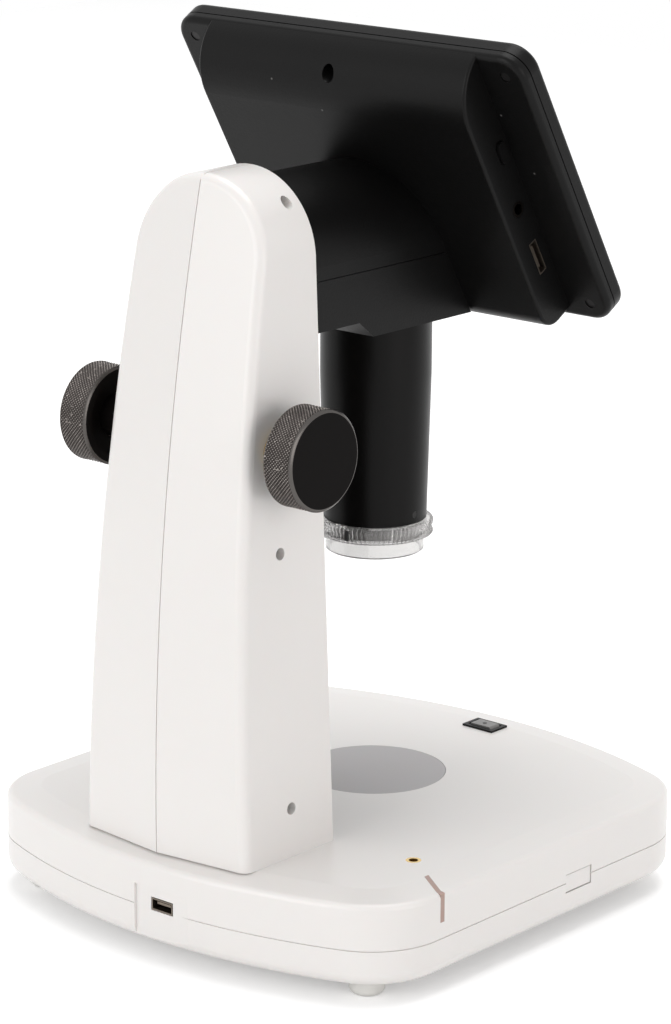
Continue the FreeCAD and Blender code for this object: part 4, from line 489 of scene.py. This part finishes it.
class Paint:
    """Every finish of this object, made once and handed out by name."""

    FINISHES: tuple[Finish, ...] = (
        Moulded("white_casing", (0.80, 0.775, 0.755), 0.32, tone=0.03, grain_scale=700.0,
                grain_depth=0.000012, coat=0.15, glow_through=0.04),
        Moulded("black_casing", (0.0036, 0.0035, 0.0035), 0.36, spread=0.1, tone=0.25, grain_scale=1500.0,
                grain_depth=0.000035, dust=0.3, shine=0.14),
        Moulded("white_foot", (0.72, 0.71, 0.68), 0.6, grain_scale=500.0, grain_depth=0.00005),
        Moulded("light_guide", (0.42, 0.29, 0.25), 0.35, tone=0.2, glow_through=0.3),
        Moulded("stage_frost", (0.455, 0.44, 0.445), 0.5, spread=0.05, tone=0.03, grain_scale=1200.0,
                grain_depth=0.00003, glow_through=0.1),
        Moulded("lamp_package", (0.85, 0.82, 0.62), 0.3),
        Moulded("rocker_grey", (0.20, 0.195, 0.19), 0.4, grain_scale=1300.0, grain_depth=0.00003),
        Moulded("dark_ink", (0.03, 0.03, 0.03), 0.5),
        Moulded("battery_wrap", (0.03, 0.09, 0.25), 0.25, coat=0.4),
        Moulded("display_black", (0.006, 0.006, 0.008), 0.12, tone=0.1, grain_depth=0.000002),
        Moulded("key_rubber", (0.028, 0.028, 0.029), 0.6, grain_depth=0.00004),
        Metal("screw_steel", (0.30, 0.30, 0.30), 0.36, Grain.BRUSHED, depth=0.00001),
        Metal("black_screw", (0.022, 0.021, 0.021), 0.36, Grain.CAST, metallic=0.6, shine=0.3, depth=0.00001),
        Metal("brass", (0.80, 0.58, 0.24), 0.24, Grain.BRUSHED, depth=0.000005),
        Metal("jack_dark", (0.035, 0.03, 0.026), 0.3, Grain.CAST, depth=0.000005),
        # painted shade: the socket shell metal is darkened to the shade inside the port openings
        Metal("socket_steel", (0.20, 0.17, 0.14), 0.38, Grain.BRUSHED),
        Metal("frame_steel", (0.36, 0.36, 0.37), 0.42, Grain.BRUSHED),
        Metal("frame_aluminium", (0.60, 0.60, 0.61), 0.38, Grain.BRUSHED),
        # the knurl's raised edges are painted lighter: worn finish and painted edge highlight
        Metal("knob_rim", (0.055, 0.048, 0.045), 0.34, Grain.CAST, bare_and_highlight=(0.62, 0.57, 0.53), wear_and_highlight=0.85,
              depth=0.000008),
        Metal("knob_edge", (0.10, 0.093, 0.088), 0.26, Grain.TURNED, depth=0.000001, turned_about=Axis.X,
              turned_at=(0.0, 0.0642, 0.1671)),
        Metal("knob_face", (0.0042, 0.0034, 0.0032), 0.38, Grain.CAST, depth=0.000001, metallic=0.0, shine=0.04),
        Metal("tube_black", (0.004, 0.0037, 0.0036), 0.34, Grain.CAST, metallic=0.0, shine=0.12, depth=0.00002),
        Metal("ring_black", (0.010, 0.0095, 0.0095), 0.42, Grain.TURNED, metallic=0.0, shine=0.2, depth=0.000002,
              turned_at=(0.0, -0.018, 0.0)),
        Clear("clear_cap", (0.79, 0.78, 0.77), roughness=0.08, milky=0.22),
        Clear("clear_glass", (0.93, 0.95, 0.96), roughness=0.03, index=1.5),
        Board("circuit_board"),
    )

    NODES: dict[str, tuple[str, ...]] = {
        "white_casing": ("base_top_shell", "base_bottom_shell", "side_blank_plug", "column_left_half",
                         "column_right_half"),
        "black_casing": ("column_front_panel", "front_bezel", "rear_cover", "neck_lower_cover", "switch_frame",
                         "snapshot_button"),
        "white_foot": ("rubber_feet",),
        "light_guide": ("charge_light_strip",),
        "stage_frost": ("stage_window",),
        "lamp_package": ("stage_leds", "ring_leds"),
        "rocker_grey": ("light_switch_rocker",),
        "battery_wrap": ("battery",),
        "display_black": ("screen_panel",),
        "key_rubber": tuple(f"menu_key_{number}" for number in range(1, 6)),
        "screw_steel": ("base_screws", "column_screws", "column_foot_screws", "bracket_screws", "tube_screws"),
        "black_screw": ("cover_screws", "rear_screw", "set_screw"),
        "brass": ("thread_inserts", "shaft_bushes", "focus_pinion", "focus_rack"),
        "jack_dark": ("av_jack",),
        "socket_steel": ("power_socket", "video_socket"),
        "frame_steel": ("column_foot_plate", "focus_shaft"),
        "frame_aluminium": ("guide_rail", "carriage", "arm_bracket"),
        "knob_rim": ("left_knob", "right_knob"),
        "tube_black": ("tube_housing",),
        "ring_black": ("zoom_ring", "lens_barrel"),
        "clear_cap": ("objective_cap",),
        "clear_glass": ("screen_glass", "front_lens", "rear_lens"),
        "circuit_board": ("stage_light_board", "base_circuit_board", "head_circuit_board", "key_board",
                          "sensor_board", "led_ring_board"),
    }

    def __init__(self, effects: Effects) -> None:
        """Make every material.

        Args:
            effects: The shared node groups.
        """
        self.materials = {finish.name: finish.make(effects) for finish in self.FINISHES}

    def __getitem__(self, name: str) -> bpy.types.Material:
        """Return a material by its finish's name."""
        return self.materials[name]

    def dress(self, thing: bpy.types.Object, *names: str) -> None:
        """Give an object these finishes, in the order of its material slots."""
        if thing.data.materials:
            thing.data.materials.clear()
        for name in names:
            thing.data.materials.append(self[name])

    def dress_solids(self) -> None:
        """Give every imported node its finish."""
        for finish, nodes in self.NODES.items():
            for node in nodes:
                self.dress(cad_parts[node], finish)
                log.info("%s wears %s", node, finish)


# Mesh helpers


def new_piece(name: str, form: bmesh.types.BMesh, body: str, paint: Paint, *finishes: str) -> bpy.types.Object:
    """Turn a finished bmesh into a piece that rides on a body.

    Args:
        name: The piece's name.
        form: The mesh in the frame's own coordinates, in metres.
        body: The body that it rides on.
        paint: Where finishes come from.
        finishes: Finishes in the order of the mesh's material indices.

    Returns:
        The new object.
    """
    bmesh.ops.recalc_face_normals(form, faces=form.faces)
    mesh = bpy.data.meshes.new(name)
    form.to_mesh(mesh)
    form.free()
    thing = bpy.data.objects.new(name, mesh)
    bpy.context.scene.collection.objects.link(thing)
    paint.dress(thing, *finishes)
    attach(thing, body)
    log.info("%s rides on %s", name, body)
    return thing


def smooth(thing: bpy.types.Object, degrees: float = 35.0) -> None:
    """Shade a piece smooth but for its sharp edges.

    Args:
        thing: The piece.
        degrees: Edges that turn by more than this stay sharp.
    """
    limit = math.radians(degrees)
    mesh = thing.data
    mesh.shade_smooth()
    form = bmesh.new()
    form.from_mesh(mesh)
    for edge in form.edges:
        if len(edge.link_faces) == 2 and edge.calc_face_angle(0.0) > limit:
            edge.smooth = False
    form.to_mesh(mesh)
    form.free()


def lathe(profile: Profile, steps: int, centre: Vector, about: Axis, side: int = 1,
          shape: Callable[[float, float, float], float] | None = None,
          slot_of: Callable[[int], int] | None = None) -> bmesh.types.BMesh:
    """Turn a closed profile about an axis.

    Args:
        profile: Closed (radius, distance along the axis) points in millimetres.
        steps: Divisions round the axis.
        centre: The axis point that distances are measured from, in metres.
        about: The axis.
        side: 1 or -1, which way distances run.
        shape: Optional new radius from (radius, distance, angle).
        slot_of: Optional material index for the strip that starts at a profile point.

    Returns:
        The turned mesh.
    """
    form = bmesh.new()
    rings = []
    for step in range(steps):
        angle = 2 * math.pi * step / steps
        ring = []
        for radius, along in profile:
            reach = shape(radius, along, angle) if shape else radius
            first, second = reach * math.cos(angle) * MM, reach * math.sin(angle) * MM
            axial = side * along * MM
            point = Vector((axial, first, second)) if about is Axis.X else Vector((first, second, axial))
            ring.append(form.verts.new(centre + point))
        rings.append(ring)
    count = len(profile)
    for step in range(steps):
        here, there = rings[step], rings[(step + 1) % steps]
        for index in range(count):
            after = (index + 1) % count
            face = form.faces.new((here[index], here[after], there[after], there[index]))
            face.material_index = slot_of(index) if slot_of else 0
    bmesh.ops.remove_doubles(form, verts=form.verts, dist=1e-7)
    return form


def block(sides: Sequence[float], place: Vector, turn: Matrix) -> bmesh.types.BMesh:
    """Make a box with slightly rounded edges.

    Args:
        sides: Its full sides in millimetres.
        place: Its middle in metres.
        turn: How it is turned.

    Returns:
        The box's mesh.
    """
    form = bmesh.new()
    size = Matrix.Diagonal((*(side * MM for side in sides), 1.0))
    bmesh.ops.create_cube(form, size=1.0, matrix=Matrix.Translation(place) @ turn @ size)
    bmesh.ops.bevel(form, geom=form.edges[:], offset=0.06 * MM, segments=2, affect="EDGES", profile=0.5)
    return form


def wave(value: float) -> float:
    """Return 0 to 1 and back once for each whole unit of value."""
    part = value - math.floor(value)
    return 1.0 - abs(2.0 * part - 1.0)


# Sub-assemblies


@dataclass
class FocusKnobs:
    """The two hand knobs with their diamond knurl, bright edges and dark faces."""

    radius: float = 16.1
    thickness: float = 11.7
    face_x: float = 49.4
    bevel: float = 0.8
    bore: float = 3.0
    hub_radius: float = 7.0
    hub_length: float = 5.0
    recess_radius: float = 12.6
    recess_depth: float = 2.2
    diamonds_round: int = 84
    diamond_depth: float = 0.42
    centre_y: float = 64.2
    centre_z: float = 167.1

    def profile(self, rows: int) -> list[tuple[float, float]]:
        """Return the knob's outline, with the knurled rim cut into rows."""
        thick = self.thickness
        low, high = self.bevel, thick - self.bevel
        rim = [(self.radius, low + (high - low) * row / rows) for row in range(rows + 1)]
        return [(self.bore, 2 * thick / 3), (self.bore, -self.hub_length), (self.hub_radius, -self.hub_length),
                (self.hub_radius, self.recess_depth), (self.recess_radius, self.recess_depth),
                (self.recess_radius, 0.0), (self.radius - self.bevel, 0.0), *rim,
                (self.radius - self.bevel, thick), (self.radius - self.bevel - 0.25, thick), (0.0, thick),
                (0.0, 2 * thick / 3)]

    def knurled(self, radius: float, along: float, angle: float) -> float:
        """Return the rim's radius with the two crossed sets of grooves cut in."""
        low, high = self.bevel, self.thickness - self.bevel
        if radius < self.radius - 1e-6 or along <= low + 1e-6 or along >= high - 1e-6:
            return radius
        turns = angle * self.diamonds_round / (2 * math.pi)
        pitch = 2 * math.pi * self.radius / self.diamonds_round
        forward, back = wave(turns + along / pitch), wave(turns - along / pitch)
        raised = min(forward, back)
        return radius - self.diamond_depth * (1.0 - min(1.0, raised * 1.5))

    def build(self, paint: Paint) -> None:
        """Make both knobs in place of their plain solids."""
        rows = 52
        outline = self.profile(rows)
        first_rim, last_rim = 7, 7 + rows
        marks = {first_rim - 1: 1, last_rim: 1, last_rim + 1: 1}

        def slot_of(index: int) -> int:
            """Return the rim's, the edge's or the face's finish."""
            return marks.get(index, 0 if first_rim <= index < last_rim else 2)

        for name, side in (("left", -1), ("right", 1)):
            centre = Vector((side * (self.face_x - self.thickness), self.centre_y, self.centre_z)) * MM
            form = lathe(outline, self.diamonds_round * 8, centre, Axis.X, side, self.knurled, slot_of)
            knob = new_piece(f"{name}_knob_knurled", form, "focus_knobs", paint, "knob_rim", "knob_edge", "knob_face")
            smooth(knob, 50.0)
            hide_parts(f"{name}_knob")


@dataclass
class ObjectiveCap:
    """The clear cap with its ribbed collar."""

    tube_y: float = -18.0
    top: float = 124.3
    collar_low: float = 118.8
    bottom: float = 113.3
    collar_radius: float = 19.4
    radius: float = 16.4
    wall: float = 1.3
    sleeve: float = 15.66
    shoulder: float = 119.3
    ribs: int = 76
    rib_depth: float = 0.5
    mark_angle: float = 101.5

    def ribbed(self, radius: float, along: float, angle: float) -> float:
        """Return the collar's radius with a groove between each two ribs."""
        if radius < self.collar_radius - 0.6:
            return radius
        turn = wave(angle * self.ribs / (2 * math.pi))
        return radius - self.rib_depth * (1.0 if turn < 0.34 else 0.0)

    def build(self, paint: Paint) -> None:
        """Make the cap in place of its plain solid."""
        inner = self.radius - self.wall
        outer, low = self.collar_radius, self.collar_low
        outline = [(self.sleeve, self.top), (outer - 2.6, self.top), (outer - 2.2, self.top - 0.35),
                   (outer - 0.5, self.top - 0.35), (outer, self.top - 0.9), (outer, self.top - 2.1),
                   (outer - 0.45, self.top - 2.5), (outer - 0.45, low + 1.3), (outer, low + 0.9),
                   (outer, low + 0.4), (outer - 0.5, low), (self.radius, low),
                   (self.radius, self.bottom + 0.35), (self.radius - 0.35, self.bottom), (inner + 0.3, self.bottom),
                   (inner, self.bottom + 0.3), (inner, self.shoulder), (self.sleeve, self.shoulder)]
        form = lathe(outline, self.ribs * 6, Vector((0.0, self.tube_y * MM, 0.0)), Axis.Z, 1, self.ribbed)
        cap = new_piece("cap_ribbed", form, "objective_cap", paint, "clear_cap")
        smooth(cap, 30.0)
        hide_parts("objective_cap")
        self.index_bar(paint)

    def index_bar(self, paint: Paint) -> None:
        """Set the dark bar that shows how far the cap is turned into the collar."""
        angle = math.radians(self.mark_angle)
        reach = self.collar_radius - 0.15
        middle = (self.collar_low + self.top) / 2
        place = Vector((reach * math.cos(angle), self.tube_y + reach * math.sin(angle), middle)) * MM
        turn = Matrix.Rotation(angle, 4, "Z")
        bar = new_piece("cap_index_bar", block((0.5, 1.5, 3.4), place, turn), "objective_cap", paint, "dark_ink")


@dataclass
class SwitchMark:
    """The small dark dot moulded in the middle of the lamp switch's rocker."""

    centre_y: float = -78.6
    top: float = 36.0
    radius: float = 0.75
    height: float = 0.12

    def build(self, paint: Paint) -> None:
        """Make the dot."""
        outline = [(0.0, 0.0), (self.radius, 0.0), (self.radius, self.height - 0.04),
                   (self.radius - 0.1, self.height), (0.0, self.height)]
        centre = Vector((0.0, self.centre_y, self.top)) * MM
        dot = new_piece("rocker_dot", lathe(outline, 32, centre, Axis.Z), "light_switch", paint, "dark_ink")
        smooth(dot)


@dataclass
class Studio:
    """Floor, lights, backdrop and the camera at the photograph's angle."""

    azimuth: float = 220.796
    elevation: float = 15.394
    roll: float = 0.266
    focal_pixels: float = 3777.0
    long_side: int = 1024
    distance: float = 1.2556
    aim_right: float = -0.01307
    aim_height: float = 0.12507
    aim_back: float = -0.018
    sensor: float = 36.0
    floor_lift: float = 0.27
    floor_half: float = 1.6
    air_tone: float = 0.56

    def camera(self) -> None:
        """Place the camera."""
        a, e, r = (math.radians(value) for value in (self.azimuth, self.elevation, self.roll))
        back = Vector((math.sin(a) * math.cos(e), -math.cos(a) * math.cos(e), math.sin(e)))
        right = Vector((math.cos(a), math.sin(a), 0.0))
        up = back.cross(right)
        aim = Vector((0.0, self.aim_back, self.aim_height)) + right * self.aim_right
        across = right * math.cos(r) + up * math.sin(r)
        over = up * math.cos(r) - right * math.sin(r)
        data = bpy.data.cameras.new("photo_camera")
        data.sensor_width = self.sensor
        data.lens = self.focal_pixels / self.long_side * self.sensor
        data.clip_start, data.clip_end = 0.05, 20.0
        camera = bpy.data.objects.new("photo_camera", data)
        turn = Matrix((across, over, back)).transposed().to_4x4()
        camera.matrix_world = Matrix.Translation(aim + back * self.distance) @ turn
        bpy.context.scene.collection.objects.link(camera)
        bpy.context.scene.camera = camera

    def lamp(self, name: str, place: Sequence[float], aim: Sequence[float], size: float, power: float,
             colour: Colour = (1.0, 1.0, 1.0)) -> None:
        """Hang one soft square lamp.

        Args:
            name: The lamp's name.
            place: Where it hangs.
            aim: The point it faces.
            size: Its side in metres.
            power: Its power in watts.
            colour: Its colour.
        """
        data = bpy.data.lights.new(name, "AREA")
        data.size = size
        data.energy = power
        data.color = colour
        light = bpy.data.objects.new(name, data)
        light.location = place
        light.rotation_euler = (Vector(aim) - Vector(place)).to_track_quat("-Z", "Y").to_euler()
        bpy.context.scene.collection.objects.link(light)

    @staticmethod
    def seen_white(tree: bpy.types.NodeTree) -> bpy.types.NodeSocket:
        """Return a mask of what the camera, a mirror or a clear piece looks at."""
        path = tree.nodes.new("ShaderNodeLightPath")
        first = tree.nodes.new("ShaderNodeMath")
        first.operation = "MAXIMUM"
        second = tree.nodes.new("ShaderNodeMath")
        second.operation = "MAXIMUM"
        tree.links.new(path.outputs["Is Camera Ray"], first.inputs[0])
        tree.links.new(path.outputs["Is Transmission Ray"], first.inputs[1])
        tree.links.new(first.outputs[0], second.inputs[0])
        tree.links.new(path.outputs["Is Glossy Ray"], second.inputs[1])
        return second.outputs[0]

    def world(self) -> None:
        """Light the air softly and show white behind the object."""
        world = bpy.data.worlds.new("studio")
        world.use_nodes = True
        tree = world.node_tree
        shade = tree.nodes["Background"]
        mix = tree.nodes.new("ShaderNodeMix")
        mix.data_type = "RGBA"
        mix.inputs[6].default_value = (self.air_tone, self.air_tone, self.air_tone, 1.0)
        mix.inputs[7].default_value = (1.0, 1.0, 1.0, 1.0)
        tree.links.new(self.seen_white(tree), mix.inputs[0])
        tree.links.new(mix.outputs[2], shade.inputs["Color"])
        bpy.context.scene.world = world

    def floor(self) -> None:
        """Lay the pale floor."""
        form = bmesh.new()
        bmesh.ops.create_grid(form, x_segments=1, y_segments=1, size=self.floor_half)
        mesh = bpy.data.meshes.new("floor")
        form.to_mesh(mesh)
        form.free()
        floor = bpy.data.objects.new("floor", mesh)
        bpy.context.scene.collection.objects.link(floor)
        material = bpy.data.materials.new("floor_white")
        material.use_nodes = True
        shader = material.node_tree.nodes["Principled BSDF"]
        shader.inputs["Base Color"].default_value = (0.93, 0.93, 0.93, 1.0)
        shader.inputs["Roughness"].default_value = 0.9
        shader.inputs["Specular IOR Level"].default_value = 0.0
        shader.inputs["Emission Color"].default_value = (1.0, 1.0, 1.0, 1.0)
        lift = material.node_tree.nodes.new("ShaderNodeMath")
        lift.operation = "MULTIPLY"
        lift.inputs[1].default_value = self.floor_lift
        material.node_tree.links.new(self.seen_white(material.node_tree), lift.inputs[0])
        material.node_tree.links.new(lift.outputs[0], shader.inputs["Emission Strength"])
        floor.data.materials.append(material)

    def build(self) -> None:
        """Set up the whole studio."""
        scene = bpy.context.scene
        scene.view_settings.view_transform = "Standard"
        self.world()
        self.floor()
        middle = (0.0, 0.0, 0.12)
        self.lamp("back", (0.5, 2.8, 1.0), middle, 2.0, 30.0)
        self.lamp("side", (-2.4, 0.2, 0.5), middle, 1.4, 12.5, (1.0, 0.965, 0.955))
        self.lamp("top", (0.1, -0.5, 2.4), middle, 1.6, 28.0)
        self.camera()


def main() -> None:
    """Build the scene in order."""
    logging.basicConfig(level=logging.INFO, format="%(message)s")
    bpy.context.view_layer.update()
    paint = Paint(Effects())
    paint.dress_solids()
    FocusKnobs().build(paint)
    ObjectiveCap().build(paint)
    SwitchMark().build(paint)
    Studio().build()


if __name__ == "__main__":
    main()
